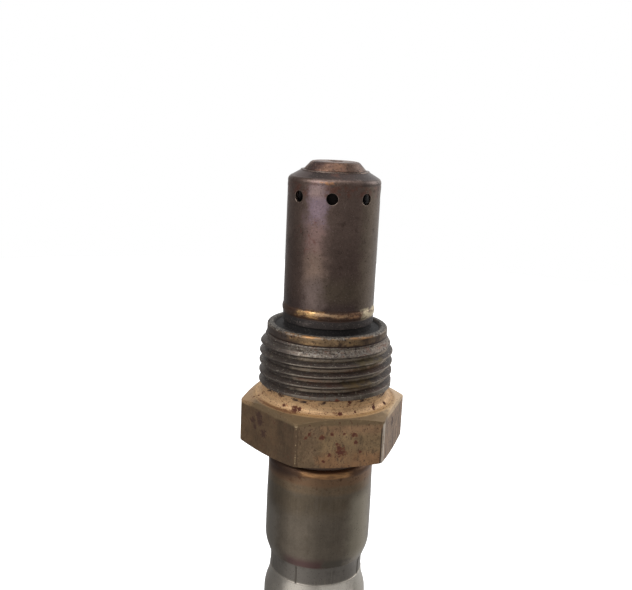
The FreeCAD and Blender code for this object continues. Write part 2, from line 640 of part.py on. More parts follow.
def contact(pad, barrel_place):
    """Folded spring contact on the +Y face of the element, with its open wire barrel."""
    fold_top = HOLDER_FRONT - HOLDER_FRONT_WALL - CONTACT_FRONT_GAP - CONTACT_SHEET / 2
    touch = ELEMENT_THICKNESS / 2 + CONTACT_SHEET / 2 + SEAT_GAP
    fold_middle = (CONTACT_BACK + CONTACT_FOLD) / 2
    fold_drop = (CONTACT_BACK - CONTACT_FOLD) / 3
    line = [
        (CONTACT_BACK, FAN_FRONT),
        (CONTACT_BACK, fold_top - fold_drop),
        (fold_middle + fold_drop / 2, fold_top),
        (fold_middle - fold_drop / 2, fold_top),
        (CONTACT_FOLD, fold_top - fold_drop),
        (touch, fold_top - CONTACT_TOUCH_DEPTH),
        (touch + CONTACT_LIFT, fold_top - CONTACT_TAIL_DEPTH),
    ]
    spring = folded_strip(line, CONTACT_SHEET, CONTACT_WIDTH, pad)
    half = CONTACT_WIDTH / 2
    back = CONTACT_BACK - CONTACT_SHEET / 2
    barrel_top = BARREL_FRONT - BARREL_RADIUS / 2
    fan_corners = [
        FreeCAD.Vector(pad - half, back, FAN_FRONT),
        FreeCAD.Vector(pad + half, back, FAN_FRONT),
        FreeCAD.Vector(barrel_place + half, back, BARREL_FRONT),
        FreeCAD.Vector(barrel_place + half, back, barrel_top),
        FreeCAD.Vector(barrel_place - half, back, barrel_top),
        FreeCAD.Vector(barrel_place - half, back, BARREL_FRONT),
    ]
    fan_face = Part.Face(Part.makePolygon(fan_corners + fan_corners[:1]))
    fan = fan_face.extrude(FreeCAD.Vector(0, CONTACT_SHEET, 0))
    foot = FreeCAD.Vector(barrel_place, CONTACT_BACK, BARREL_FRONT - BARREL_LENGTH)
    barrel = Part.makeCylinder(BARREL_RADIUS, BARREL_LENGTH, foot)
    bore_depth = BARREL_LENGTH - BARREL_RADIUS
    barrel = barrel.cut(Part.makeCylinder(BARREL_BORE_RADIUS, bore_depth, foot))
    return spring.fuse([fan, barrel]).removeSplitter()


def wire_grommet():
    inset = SLEEVE_WALL + SEAT_GAP
    radius = SLEEVE_TAIL_RADIUS - inset
    outline = Outline(0, GROMMET_FRONT)
    outline.line_to(radius, GROMMET_FRONT)
    follow_sleeve(outline, inset, GROMMET_FRONT, GROMMET_REAR + GROMMET_EDGE)
    outline.round_to(radius - GROMMET_EDGE, GROMMET_REAR)
    outline.line_to(0, GROMMET_REAR)
    grommet = outline.turned()
    length = GROMMET_FRONT - GROMMET_REAR
    place = FreeCAD.Vector(0, -WIRE_CIRCLE_RADIUS, GROMMET_REAR)
    hole = Part.makeCylinder(WIRE_HOLE_RADIUS, length, place)
    pitch = 360.0 / WIRE_HOLE_COUNT
    return grommet.cut([at_azimuth(hole, pitch * index) for index in range(WIRE_HOLE_COUNT)])


def all_pieces():
    pieces = {
        "outer_protection_tube": outer_protection_tube(),
        "inner_protection_tube": inner_protection_tube(),
        "sensor_shell": sensor_shell(),
        "swivel_nut": swivel_nut(),
        "rear_sleeve": rear_sleeve(),
        "sensing_element": sensing_element(),
        "element_cup": element_cup(),
        "front_ceramic_holder": slotted_disc(CUP_FILL_RADIUS, CUP_FLOOR, TALC_FRONT),
        "front_talc_ring": slotted_disc(CUP_FILL_RADIUS, TALC_FRONT, REAR_TALC_FRONT),
        "rear_talc_ring": rear_talc_ring(),
        "rear_ceramic_sleeve": rear_ceramic_sleeve(),
        "packing_ring": packing_ring(),
        "contact_holder": contact_holder(),
        "holder_ring": holder_ring(),
        "wire_grommet": wire_grommet(),
    }
    number = 0
    for row_turn in (0, 180):
        for pad, barrel_place in contact_places():
            number += 1
            pieces["contact_%d" % number] = at_azimuth(contact(pad, barrel_place), row_turn)
    return pieces


os.makedirs("parts", exist_ok=True)
for node, solid in all_pieces().items():
    print(node, solid.isValid(), len(solid.Solids), round(solid.Volume, 3))
    solid.exportStep("parts/" + node + ".step")
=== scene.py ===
import bpy
import json
import math
from mathutils import Matrix, Vector


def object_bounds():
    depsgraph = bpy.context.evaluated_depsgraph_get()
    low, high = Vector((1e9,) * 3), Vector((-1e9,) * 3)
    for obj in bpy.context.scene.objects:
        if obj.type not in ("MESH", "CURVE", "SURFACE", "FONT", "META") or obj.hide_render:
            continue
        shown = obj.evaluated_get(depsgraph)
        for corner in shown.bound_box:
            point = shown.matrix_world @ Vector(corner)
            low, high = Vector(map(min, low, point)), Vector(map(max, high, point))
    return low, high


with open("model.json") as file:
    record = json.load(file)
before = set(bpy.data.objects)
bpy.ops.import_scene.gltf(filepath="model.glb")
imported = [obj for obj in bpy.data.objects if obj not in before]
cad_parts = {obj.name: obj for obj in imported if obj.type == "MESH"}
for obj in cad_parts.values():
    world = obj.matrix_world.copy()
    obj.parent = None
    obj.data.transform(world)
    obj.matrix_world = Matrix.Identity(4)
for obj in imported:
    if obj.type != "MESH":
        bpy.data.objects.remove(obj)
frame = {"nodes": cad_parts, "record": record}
cad_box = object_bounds()

# Units
MILLIMETRE = 0.001
SENSOR_WIDTH = 36.0

# Camera of the photograph, in millimetres, degrees and the photograph's pixels
PHOTO_WIDTH = 632
CAMERA_DISTANCE = 124.45
CAMERA_ELEVATION = 12.57
CAMERA_ROLL = 2.704
CAMERA_RIGHT = -1.904
CAMERA_UP = 3.967
CAMERA_FOCAL_PIXELS = 834.18

# Floor, in metres
FLOOR_RADIUS = 0.4
FLOOR_SEGMENTS = 96
FLOOR_GLOW = 0.7

# Studio: plain light, and what metal mirrors of the room. A panel has its middle, half width
# and softness in degrees, and how much brighter than the room it is.
WORLD_LIGHT = 0.4
ROOM_LIGHT = 0.34
SOFT_PANELS = [
    (-42, 2, 46, 0.5),
    (135, 20, 30, 0.42),
    (180, 14, 16, 0.66),
    (-105, 18, 25, -0.14),
]

# Lamps: azimuth and elevation in degrees, distance and size in metres, and power in watts
LAMPS = {
    "key": (-52, 42, 0.5, 0.35, 1.5),
    "rim": (118, 25, 0.5, 0.3, 0.9),
    "top": (10, 80, 0.5, 0.4, 0.7),
}

# Rust spots on the nut: azimuth, radius, height, size and raggedness, and their dark cores' share
RUST_CORE = 0.7
RUST_SPOTS = [
    (64.6, 9.8, -10.8, 0.45, 1.6),
    (47.2, 9.65, -10.6, 0.55, 3.0),
    (13.3, 9.8, -10.8, 0.45, 3.0),
    (26.9, 9.7, -10.7, 0.25, 1.6),
    (10.1, 9.9, -8.9, 0.5, 2.0),
    (22.5, 9.45, -9.3, 0.45, 3.0),
    (-24.8, 9.8, -10.8, 0.75, 3.0),
    (-21.5, 9.7, -10.6, 0.5, 3.0),
    (-36.7, 9.6, -10.55, 0.35, 2.0),
    (-73.3, 10.9, -11.1, 0.3, 2.0),
    (-73.7, 10.1, -10.95, 0.25, 2.0),
    (13.6, 11.0, -16.0, 0.85, 3.4),
    (12.2, 11.0, -15.35, 0.55, 2.6),
    (10.6, 11.05, -14.9, 0.3, 2.4),
    (-0.6, 11.25, -13.8, 0.5, 3.0),
    (6.5, 11.05, -13.3, 0.35, 2.4),
    (24.8, 11.2, -14.75, 0.45, 3.0),
    (28.0, 11.4, -16.1, 0.3, 2.0),
    (5.2, 11.05, -16.4, 0.35, 2.4),
    (1.2, 11.15, -17.4, 0.35, 2.4),
    (16.2, 11.0, -13.35, 0.3, 2.4),
    (22.8, 11.15, -13.5, 0.5, 4.0),
    (-9.5, 11.8, -13.2, 0.35, 4.0),
    (-12.0, 11.95, -13.7, 0.3, 3.0),
]

# Old brown stains on the hexagon's side faces, with the same values
OLD_STAINS = [
    (-57.5, 11.2, -12.9, 0.8, 3.0),
    (-55.5, 11.1, -13.8, 0.8, 3.0),
    (-51.5, 11.05, -15.3, 0.75, 3.0),
    (-63.8, 11.5, -14.0, 0.7, 3.0),
    (-61.5, 11.4, -14.9, 0.5, 3.0),
    (68.0, 11.0, -13.6, 0.8, 4.0),
]

# Plain finishes of the inner pieces by material slot: name, colour, roughness, metal, broad and
# fine clouds, the specks' colour and cover, and the pits' depth in millimetres
PLAIN_FINISHES = {
    "element_ceramic": (
        "fired_zirconia", (214, 206, 190), 0.55, 0.0, 0.1, 0.08, (150, 128, 100), 0.15, 0.006
    ),
    "cup_steel": ("pressed_sheet", (168, 164, 158), 0.34, 1.0, 0.15, 0.12, (110, 98, 84), 0.2, 0.006),
    "alumina": ("fired_alumina", (226, 220, 208), 0.6, 0.0, 0.08, 0.08, (176, 160, 138), 0.12, 0.008),
    "talc": ("pressed_talc", (196, 194, 184), 0.9, 0.0, 0.15, 0.2, (150, 146, 134), 0.3, 0.03),
    "contact_metal": (
        "plated_spring_sheet", (186, 178, 158), 0.3, 1.0, 0.12, 0.1, (130, 112, 84), 0.2, 0.004
    ),
}

# Middles of the three faces of the hexagon that the photograph shows, and a face's half, in degrees
LEFT_FACE = -47.6
FRONT_FACE = 12.4
RIGHT_FACE = 72.4
FACE_HALF = 29.4
FACE_EDGE = 1.2

# Seam between two crimp jaws that soot has filled, in degrees
JAW_SEAM_AZIMUTH = -24.5

# Heights that several belts share, in millimetres from the seat rim: past the tip, under the
# tube's foot, in front of the sleeve, rear ends of the hexagon's corners, front of the crimp
# band, and past the rear end
PAST_TIP = 30.0
BELOW_TUBE = -1.0
BEFORE_SLEEVE = -18.0
CORNER_REAR = -18.6
BAND_FRONT = -36.6
PAST_END = -70.0

# Soft steps from one surface to the next, in millimetres: radii of the dish, the collar's side,
# the thread's root and crest and the washer face's rim, and the height of the chamfer's top
DISH_EDGE = (7.7, 8.1)
COLLAR_SIDE = (8.55, 8.75)
THREAD_ROOT = (9.12, 9.22)
THREAD_CREST = (9.84, 9.9)
FACE_RIM = (9.95, 10.35)
CHAMFER_TOP = (-11.16, -11.0)

# Noise level where specks and scratches start when they cover nothing, how far full cover
# lowers it, and how far apart in the noise two calls for specks lie
SPECK_LEVEL = 0.63
SPECK_LOWERING = 0.26
SPECK_SHIFT = 13.7
SCRATCH_LEVEL = 0.65
SCRATCH_LOWERING = 0.3

# Rays that Blender's Bevel node sends for each sample
BEVEL_SAMPLES = 6

# Sockets of Blender's Mix node that carry colours
MIX_UNDER = 6
MIX_OVER = 7
MIX_RESULT = 2


# Small helpers for node trees

def colour(red, green, blue):
    """Plain screen colour from 0 to 255, as the linear colour that a socket takes."""
    linear = []
    for level in (red, green, blue):
        share = level / 255
        linear.append(share / 12.92 if share <= 0.04045 else ((share + 0.055) / 1.055) ** 2.4)
    return (*linear, 1.0)


def feed(tree, socket, value):
    """Links a socket to an output, or sets its plain value."""
    if isinstance(value, bpy.types.NodeSocket):
        tree.links.new(value, socket)
    else:
        socket.default_value = value


def add_node(tree, kind, values=None, **settings):
    node = tree.nodes.new("ShaderNode" + kind)
    for name, setting in settings.items():
        setattr(node, name, setting)
    for name, value in (values or {}).items():
        feed(tree, node.inputs[name], value)
    return node


def calc(tree, operation, *values, clamp=False):
    node = add_node(tree, "Math", operation=operation, use_clamp=clamp)
    for socket, value in zip(node.inputs, values):
        feed(tree, socket, value)
    return node.outputs[0]


def move(tree, operation, *values):
    """Vector arithmetic that gives a vector."""
    node = add_node(tree, "VectorMath", operation=operation)
    for socket, value in zip(node.inputs, values):
        feed(tree, socket, value)
    return node.outputs["Vector"]


def ramp(tree, value, low, high, from_level=0.0, to_level=1.0):
    """Smooth rise from one level to another while a value goes from low to high."""
    values = {
        "Value": value,
        "From Min": low,
        "From Max": high,
        "To Min": from_level,
        "To Max": to_level,
    }
    return add_node(tree, "MapRange", values, interpolation_type="SMOOTHSTEP").outputs["Result"]


def noise(tree, point, scale, detail=2.0, roughness=0.5, distortion=0.0):
    """Noise from 0 to 1, with the scale in waves per millimetre."""
    values = {
        "Vector": point,
        "Scale": scale,
        "Detail": detail,
        "Roughness": roughness,
        "Distortion": distortion,
    }
    return add_node(tree, "TexNoise", values).outputs["Fac"]


def lay(tree, mask, under, over, blend="MIX"):
    """Colour laid over another where the mask is 1."""
    node = add_node(tree, "Mix", {"Factor": mask}, data_type="RGBA", blend_type=blend)
    feed(tree, node.inputs[MIX_UNDER], under)
    feed(tree, node.inputs[MIX_OVER], over)
    return node.outputs[MIX_RESULT]


def start_group(name, inputs, outputs):
    """Empty node group with its named sockets, given as name, kind and plain value."""
    tree = bpy.data.node_groups.new(name, "ShaderNodeTree")
    for socket_name, kind, value in inputs:
        socket = tree.interface.new_socket(
            name=socket_name, in_out="INPUT", socket_type="NodeSocket" + kind
        )
        if value is not None:
            socket.default_value = value
    for socket_name, kind in outputs:
        tree.interface.new_socket(
            name=socket_name, in_out="OUTPUT", socket_type="NodeSocket" + kind
        )
    return tree, tree.nodes.new("NodeGroupInput").outputs, tree.nodes.new("NodeGroupOutput").inputs


def use(tree, group, values=None, output=None):
    """Places a group and gives its named output, or all of its outputs."""
    node = tree.nodes.new("ShaderNodeGroup")
    node.node_tree = group
    for name, value in (values or {}).items():
        feed(tree, node.inputs[name], value)
    return node.outputs[output] if output else node.outputs


# Node groups that the finishes share

def make_place_group():
    """Where a point lies on the probe: millimetres, and degrees that grow from -Y towards +X."""
    tree, _, out = start_group(
        "Place on the probe",
        [],
        [("Point", "Vector"), ("Azimuth", "Float"), ("Height", "Float"), ("Radius", "Float")],
    )
    here = add_node(tree, "TexCoord").outputs["Object"]
    scaled = add_node(tree, "VectorMath", operation="SCALE")
    feed(tree, scaled.inputs["Vector"], here)
    feed(tree, scaled.inputs["Scale"], 1 / MILLIMETRE)
    point = scaled.outputs["Vector"]
    parts = add_node(tree, "SeparateXYZ", {"Vector": point}).outputs
    towards_camera = calc(tree, "MULTIPLY", parts["Y"], -1.0)
    angle = calc(tree, "ARCTAN2", parts["X"], towards_camera)
    square = calc(tree, "MULTIPLY", parts["X"], parts["X"])
    radius = calc(tree, "SQRT", calc(tree, "MULTIPLY_ADD", parts["Y"], parts["Y"], square))
    feed(tree, out["Point"], point)
    feed(tree, out["Azimuth"], calc(tree, "DEGREES", angle))
    feed(tree, out["Height"], parts["Z"])
    feed(tree, out["Radius"], radius)
    return tree


def make_band_group():
    """Mask of a belt between two heights, with soft edges that wander."""
    tree, given, out = start_group(
        "Belt between heights",
        [
            ("Point", "Vector", None),
            ("Height", "Float", 0.0),
            ("Low", "Float", 0.0),
            ("High", "Float", 1.0),
            ("Softness", "Float", 0.3),
            ("Wander", "Float", 0.0),
            ("Wander Scale", "Float", 0.4),
        ],
        [("Mask", "Float")],
    )
    drift = calc(tree, "SUBTRACT", noise(tree, given["Point"], given["Wander Scale"], detail=3.0), 0.5)
    height = calc(tree, "MULTIPLY_ADD", drift, given["Wander"], given["Height"])
    half = calc(tree, "MULTIPLY", given["Softness"], 0.5)
    low_from = calc(tree, "SUBTRACT", given["Low"], half)
    low_to = calc(tree, "ADD", given["Low"], half)
    high_from = calc(tree, "SUBTRACT", given["High"], half)
    high_to = calc(tree, "ADD", given["High"], half)
    above = ramp(tree, height, low_from, low_to)
    below = ramp(tree, height, high_from, high_to, 1.0, 0.0)
    feed(tree, out["Mask"], calc(tree, "MULTIPLY", above, below))
    return tree


def make_sector_group():
    """Mask of a stretch round the axis, from its middle to a half width, in degrees."""
    tree, given, out = start_group(
        "Stretch round the axis",
        [
            ("Point", "Vector", None),
            ("Azimuth", "Float", 0.0),
            ("Middle", "Float", 0.0),
            ("Half Width", "Float", 20.0),
            ("Softness", "Float", 15.0),
            ("Wander", "Float", 0.0),
        ],
        [("Mask", "Float")],
    )
    drifting = noise(tree, given["Point"], 0.7, detail=4.0, roughness=0.65)
    drift = calc(tree, "SUBTRACT", drifting, 0.5)
    offset = calc(tree, "SUBTRACT", given["Azimuth"], given["Middle"])
    wandering = calc(tree, "MULTIPLY_ADD", drift, given["Wander"], offset)
    away = calc(tree, "ABSOLUTE", calc(tree, "WRAP", wandering, 180.0, -180.0))
    end = calc(tree, "ADD", given["Half Width"], given["Softness"])
    feed(tree, out["Mask"], ramp(tree, away, given["Half Width"], end, 1.0, 0.0))
    return tree


def make_spot_group():
    """Mask of a ragged spot round a place on the surface."""
    tree, given, out = start_group(
        "Ragged spot",
        [
            ("Point", "Vector", None),
            ("Centre", "Vector", None),
            ("Size", "Float", 1.0),
            ("Ragged", "Float", 0.5),
            ("Grain", "Float", 2.2),
        ],
        [("Mask", "Float")],
    )
    distance = add_node(tree, "VectorMath", operation="DISTANCE")
    feed(tree, distance.inputs[0], given["Point"])
    feed(tree, distance.inputs[1], given["Centre"])
    share = calc(tree, "DIVIDE", distance.outputs["Value"], given["Size"])
    level = noise(tree, given["Point"], given["Grain"], detail=3.0, roughness=0.7)
    rough = calc(tree, "SUBTRACT", level, 0.5)
    ragged = calc(tree, "MULTIPLY_ADD", rough, given["Ragged"], share)
    near = ramp(tree, share, 1.2, 1.7, 1.0, 0.0)
    filled = ramp(tree, ragged, 0.55, 0.95, 1.0, 0.0)
    feed(tree, out["Mask"], calc(tree, "MULTIPLY", near, filled))
    return tree


def make_speckle_group():
    """Mask of specks or patches, with how much of the surface they cover."""
    tree, given, out = start_group(
        "Specks and patches",
        [
            ("Point", "Vector", None),
            ("Stretch", "Vector", (1.0, 1.0, 1.0)),
            ("Shift", "Vector", (0.0, 0.0, 0.0)),
            ("Grain", "Float", 4.0),
            ("Cover", "Float", 0.3),
            ("Softness", "Float", 0.08),
        ],
        [("Mask", "Float")],
    )
    stretched = move(tree, "MULTIPLY_ADD", given["Point"], given["Stretch"], given["Shift"])
    level = noise(tree, stretched, given["Grain"], detail=4.0, roughness=0.7)
    threshold = calc(tree, "MULTIPLY_ADD", given["Cover"], -SPECK_LOWERING, SPECK_LEVEL)
    top = calc(tree, "ADD", threshold, given["Softness"])
    feed(tree, out["Mask"], ramp(tree, level, threshold, top))
    return tree


def make_mottle_group():
    """Cloudy lightness round 1, made of broad and fine noise, to multiply a colour with."""
    tree, given, out = start_group(
        "Cloudy tone",
        [
            ("Point", "Vector", None),
            ("Broad", "Float", 0.2),
            ("Fine", "Float", 0.2),
        ],
        [("Tone", "Float")],
    )
    clouds = noise(tree, given["Point"], 0.45, detail=4.0, roughness=0.6)
    broad = calc(tree, "SUBTRACT", clouds, 0.5)
    grain = noise(tree, given["Point"], 3.5, detail=4.0, roughness=0.75)
    fine = calc(tree, "SUBTRACT", grain, 0.5)
    tone = calc(tree, "MULTIPLY_ADD", broad, given["Broad"], 1.0)
    feed(tree, out["Tone"], calc(tree, "MULTIPLY_ADD", fine, given["Fine"], tone))
    return tree


def make_edge_group():
    """Mask of outer edges that are rubbed bright, broken up by noise."""
    tree, given, out = start_group(
        "Rubbed edges",
        [
            ("Point", "Vector", None),
            ("Width", "Float", 0.15),
            ("Reach", "Float", 0.1),
            ("Breakup", "Float", 0.5),
        ],
        [("Mask", "Float")],
    )
    width = calc(tree, "MULTIPLY", given["Width"], MILLIMETRE)
    rounded = add_node(tree, "Bevel", {"Radius": width}, samples=BEVEL_SAMPLES).outputs["Normal"]
    flat = add_node(tree, "NewGeometry").outputs["Normal"]
    match = add_node(tree, "VectorMath", operation="DOT_PRODUCT")
    feed(tree, match.inputs[0], rounded)
    feed(tree, match.inputs[1], flat)
    bent = calc(tree, "SUBTRACT", 1.0, match.outputs["Value"])
    rubbed = noise(tree, given["Point"], 1.4, detail=4.0, roughness=0.65)
    gaps = calc(tree, "MULTIPLY", given["Breakup"], calc(tree, "SUBTRACT", 0.5, rubbed))
    level = calc(tree, "ADD", bent, calc(tree, "MULTIPLY", gaps, given["Reach"]))
    feed(tree, out["Mask"], ramp(tree, level, 0.0, given["Reach"]))
    return tree


def make_relief_group():
    """Bump height of pitted, dusty metal in millimetres."""
    tree, given, out = start_group(
        "Pitted relief",
        [
            ("Point", "Vector", None),
            ("Pits", "Float", 0.02),
            ("Grain", "Float", 0.01),
        ],
        [("Height", "Float")],
    )
    pits = noise(tree, given["Point"], 2.2, detail=3.0, roughness=0.6)
    grain = noise(tree, given["Point"], 9.0, detail=3.0, roughness=0.6)
    low = calc(tree, "MULTIPLY", pits, given["Pits"])
    feed(tree, out["Height"], calc(tree, "MULTIPLY_ADD", grain, given["Grain"], low))
    return tree


def make_streak_group():
    """Streaks along the axis or round it, from 0 to 1."""
    tree, given, out = start_group(
        "Drawn streaks",
        [
            ("Point", "Vector", None),
            ("Stretch", "Vector", (1.0, 1.0, 0.08)),
            ("Grain", "Float", 3.0),
        ],
        [("Streak", "Float")],
    )
    stretched = move(tree, "MULTIPLY", given["Point"], given["Stretch"])
    level = noise(tree, stretched, given["Grain"], detail=3.0, roughness=0.6)
    feed(tree, out["Streak"], level)
    return tree


def make_lathe_group():
    """Fine turning marks round the axis, from 0 to 1."""
    tree, given, out = start_group(
        "Turning marks",
        [
            ("Radius", "Float", 0.0),
            ("Height", "Float", 0.0),
            ("Grain", "Float", 3.0),
        ],
        [("Level", "Float")],
    )
    section = add_node(tree, "CombineXYZ", {"X": given["Radius"], "Y": given["Height"]})
    level = noise(tree, section.outputs["Vector"], given["Grain"], detail=2.0, roughness=0.7)
    feed(tree, out["Level"], level)
    return tree


def make_scratch_group():
    """Mask of hairline scratches that come and go."""
    tree, given, out = start_group(
        "Hairline scratches",
        [
            ("Point", "Vector", None),
            ("Grain", "Float", 0.5),
            ("Width", "Float", 0.006),
            ("Cover", "Float", 0.4),
        ],
        [("Mask", "Float")],
    )
    level = noise(tree, given["Point"], given["Grain"], detail=1.0, roughness=0.4, distortion=0.6)
    away = calc(tree, "ABSOLUTE", calc(tree, "SUBTRACT", level, 0.5))
    line = ramp(tree, away, 0.0, given["Width"], 1.0, 0.0)
    threshold = calc(tree, "MULTIPLY_ADD", given["Cover"], -SCRATCH_LOWERING, SCRATCH_LEVEL)
    top = calc(tree, "ADD", threshold, 0.08)
    kept = ramp(tree, noise(tree, given["Point"], 0.9, detail=2.0), threshold, top)
    feed(tree, out["Mask"], calc(tree, "MULTIPLY", line, kept))
    return tree


PLACE = make_place_group()
BAND = make_band_group()
SECTOR = make_sector_group()
SPOT = make_spot_group()
SPECKLE = make_speckle_group()
MOTTLE = make_mottle_group()
EDGE = make_edge_group()
RELIEF = make_relief_group()
STREAK = make_streak_group()
SCRATCH = make_scratch_group()
LATHE = make_lathe_group()


# How noise is stretched: evenly, far or a little round the axis, and along it more and more
EVEN = (1.0, 1.0, 1.0)
ROUND = (0.16, 0.16, 1.0)
DRAWN = (0.35, 0.35, 1.0)
OVAL = (1.0, 1.0, 0.5)
TALL = (1.0, 1.0, 0.4)
ALONG = (1.0, 1.0, 0.14)
HAIRLINE = (1.0, 1.0, 0.05)


class Finish:
    """Material that is painted layer by layer on its Principled shader.

    Heights, widths and spots are in millimetres, azimuths and their softness in degrees, and
    the grain of noise in waves per millimetre. Edges wander by up to half the given amount.
    """

    def __init__(self, name, base, roughness, metallic):
        self.material = bpy.data.materials.new(name)
        self.material.use_nodes = True
        self.tree = self.material.node_tree
        self.shader = self.tree.nodes["Principled BSDF"]
        self.place = use(self.tree, PLACE)
        self.point = self.place["Point"]
        self.base = base
        self.roughness = roughness
        self.metallic = metallic
        self.speck_calls = 0

    def belt(self, low, high, softness=0.3, wander=0.0, wander_scale=0.4):
        """Mask between two heights."""
        values = {
            "Point": self.point,
            "Height": self.place["Height"],
            "Low": low,
            "High": high,
            "Softness": softness,
            "Wander": wander,
            "Wander Scale": wander_scale,
        }
        return use(self.tree, BAND, values, "Mask")

    def stretch(self, middle, half_width, softness=15.0, wander=0.0):
        """Mask of a stretch round the axis."""
        values = {
            "Point": self.point,
            "Azimuth": self.place["Azimuth"],
            "Middle": middle,
            "Half Width": half_width,
            "Softness": softness,
            "Wander": wander,
        }
        return use(self.tree, SECTOR, values, "Mask")

    def specks(self, grain, cover, softness=0.08, stretch=EVEN):
        """Specks or patches, never at the places of an earlier call."""
        self.speck_calls += 1
        shift = SPECK_SHIFT * self.speck_calls
        values = {
            "Point": self.point,
            "Stretch": stretch,
            "Shift": (shift, shift, shift),
            "Grain": grain,
            "Cover": cover,
            "Softness": softness,
        }
        return use(self.tree, SPECKLE, values, "Mask")

    def scratches(self, grain, width, cover):
        """Mask of hairline scratches, with their width as a share of the noise."""
        values = {
            "Point": self.point,
            "Grain": grain,
            "Width": width,
            "Cover": cover,
        }
        return use(self.tree, SCRATCH, values, "Mask")

    def spot(self, azimuth, radius, height, size, ragged=0.9, grain=3.0):
        """Mask of a ragged spot round a place on the surface."""
        turn = math.radians(azimuth)
        centre = (radius * math.sin(turn), -radius * math.cos(turn), height)
        values = {
            "Point": self.point,
            "Centre": centre,
            "Size": size,
            "Ragged": ragged,
            "Grain": grain,
        }
        return use(self.tree, SPOT, values, "Mask")

    def both(self, *masks):
        """Mask of what all the given masks share."""
        product = masks[0]
        for mask in masks[1:]:
            product = calc(self.tree, "MULTIPLY", product, mask)
        return product

    def inverse(self, mask):
        """Mask of all that another leaves out."""
        return calc(self.tree, "SUBTRACT", 1.0, mask)

    def paint(self, mask, over, roughness=None, metallic=None):
        """Lays a colour over the base, and moves roughness and metal with it."""
        self.base = lay(self.tree, mask, self.base, over)
        if roughness is not None:
            self.roughness = self.towards(mask, self.roughness, roughness)
        if metallic is not None:
            self.metallic = self.towards(mask, self.metallic, metallic)

    def speckle(self, mask, specks, over, roughness=None, metallic=None):
        """Paints specks or patches, given as specks() takes them, where the mask is."""
        self.paint(self.both(mask, self.specks(*specks)), over, roughness, metallic)

    def towards(self, mask, now, target):
        """Value that goes from now to the target with the mask."""
        values = {"Factor": mask, "A": now, "B": target}
        return add_node(self.tree, "Mix", values, data_type="FLOAT").outputs["Result"]

    def shade(self, tone, mask=1.0):
        """Multiplies the base with a tone round 1."""
        grey = add_node(self.tree, "CombineColor", {"Red": tone, "Green": tone, "Blue": tone})
        self.base = lay(self.tree, mask, self.base, grey.outputs["Color"], "MULTIPLY")

    def mottle(self, broad, fine):
        """Clouds the base with broad and fine noise."""
        values = {"Point": self.point, "Broad": broad, "Fine": fine}
        self.shade(use(self.tree, MOTTLE, values, "Tone"))

    def streaks(self, stretch, grain, strength):
        """Draws light and dark streaks over the base."""
        values = {"Point": self.point, "Stretch": stretch, "Grain": grain}
        streak = use(self.tree, STREAK, values, "Streak")
        self.shade(calc(self.tree, "MULTIPLY_ADD", streak, strength, 1 - strength / 2))

    def turning_marks(self, mask, grain, strength):
        """Draws fine rings round the axis where the mask is."""
        values = {"Radius": self.place["Radius"], "Height": self.place["Height"], "Grain": grain}
        level = use(self.tree, LATHE, values, "Level")
        self.shade(calc(self.tree, "MULTIPLY_ADD", level, strength, 1 - strength / 2), mask)

    def edges(self, width, reach, breakup):
        """Mask of outer edges that are rubbed bright."""
        values = {"Point": self.point, "Width": width, "Reach": reach, "Breakup": breakup}
        return use(self.tree, EDGE, values, "Mask")

    def done(self, pits, grain, rounding):
        """Joins the layers to the shader, with its relief and softly rounded edges."""
        values = {"Point": self.point, "Pits": pits, "Grain": grain}
        height = use(self.tree, RELIEF, values, "Height")
        bump = add_node(self.tree, "Bump", {"Height": height, "Distance": MILLIMETRE})
        radius = rounding * MILLIMETRE
        soft = add_node(self.tree, "Bevel", {"Radius": radius}, samples=BEVEL_SAMPLES)
        feed(self.tree, bump.inputs["Normal"], soft.outputs["Normal"])
        feed(self.tree, self.shader.inputs["Base Color"], self.base)
        feed(self.tree, self.shader.inputs["Roughness"], self.roughness)
        feed(self.tree, self.shader.inputs["Metallic"], self.metallic)
        feed(self.tree, self.shader.inputs["Normal"], bump.outputs["Normal"])
        return self.material


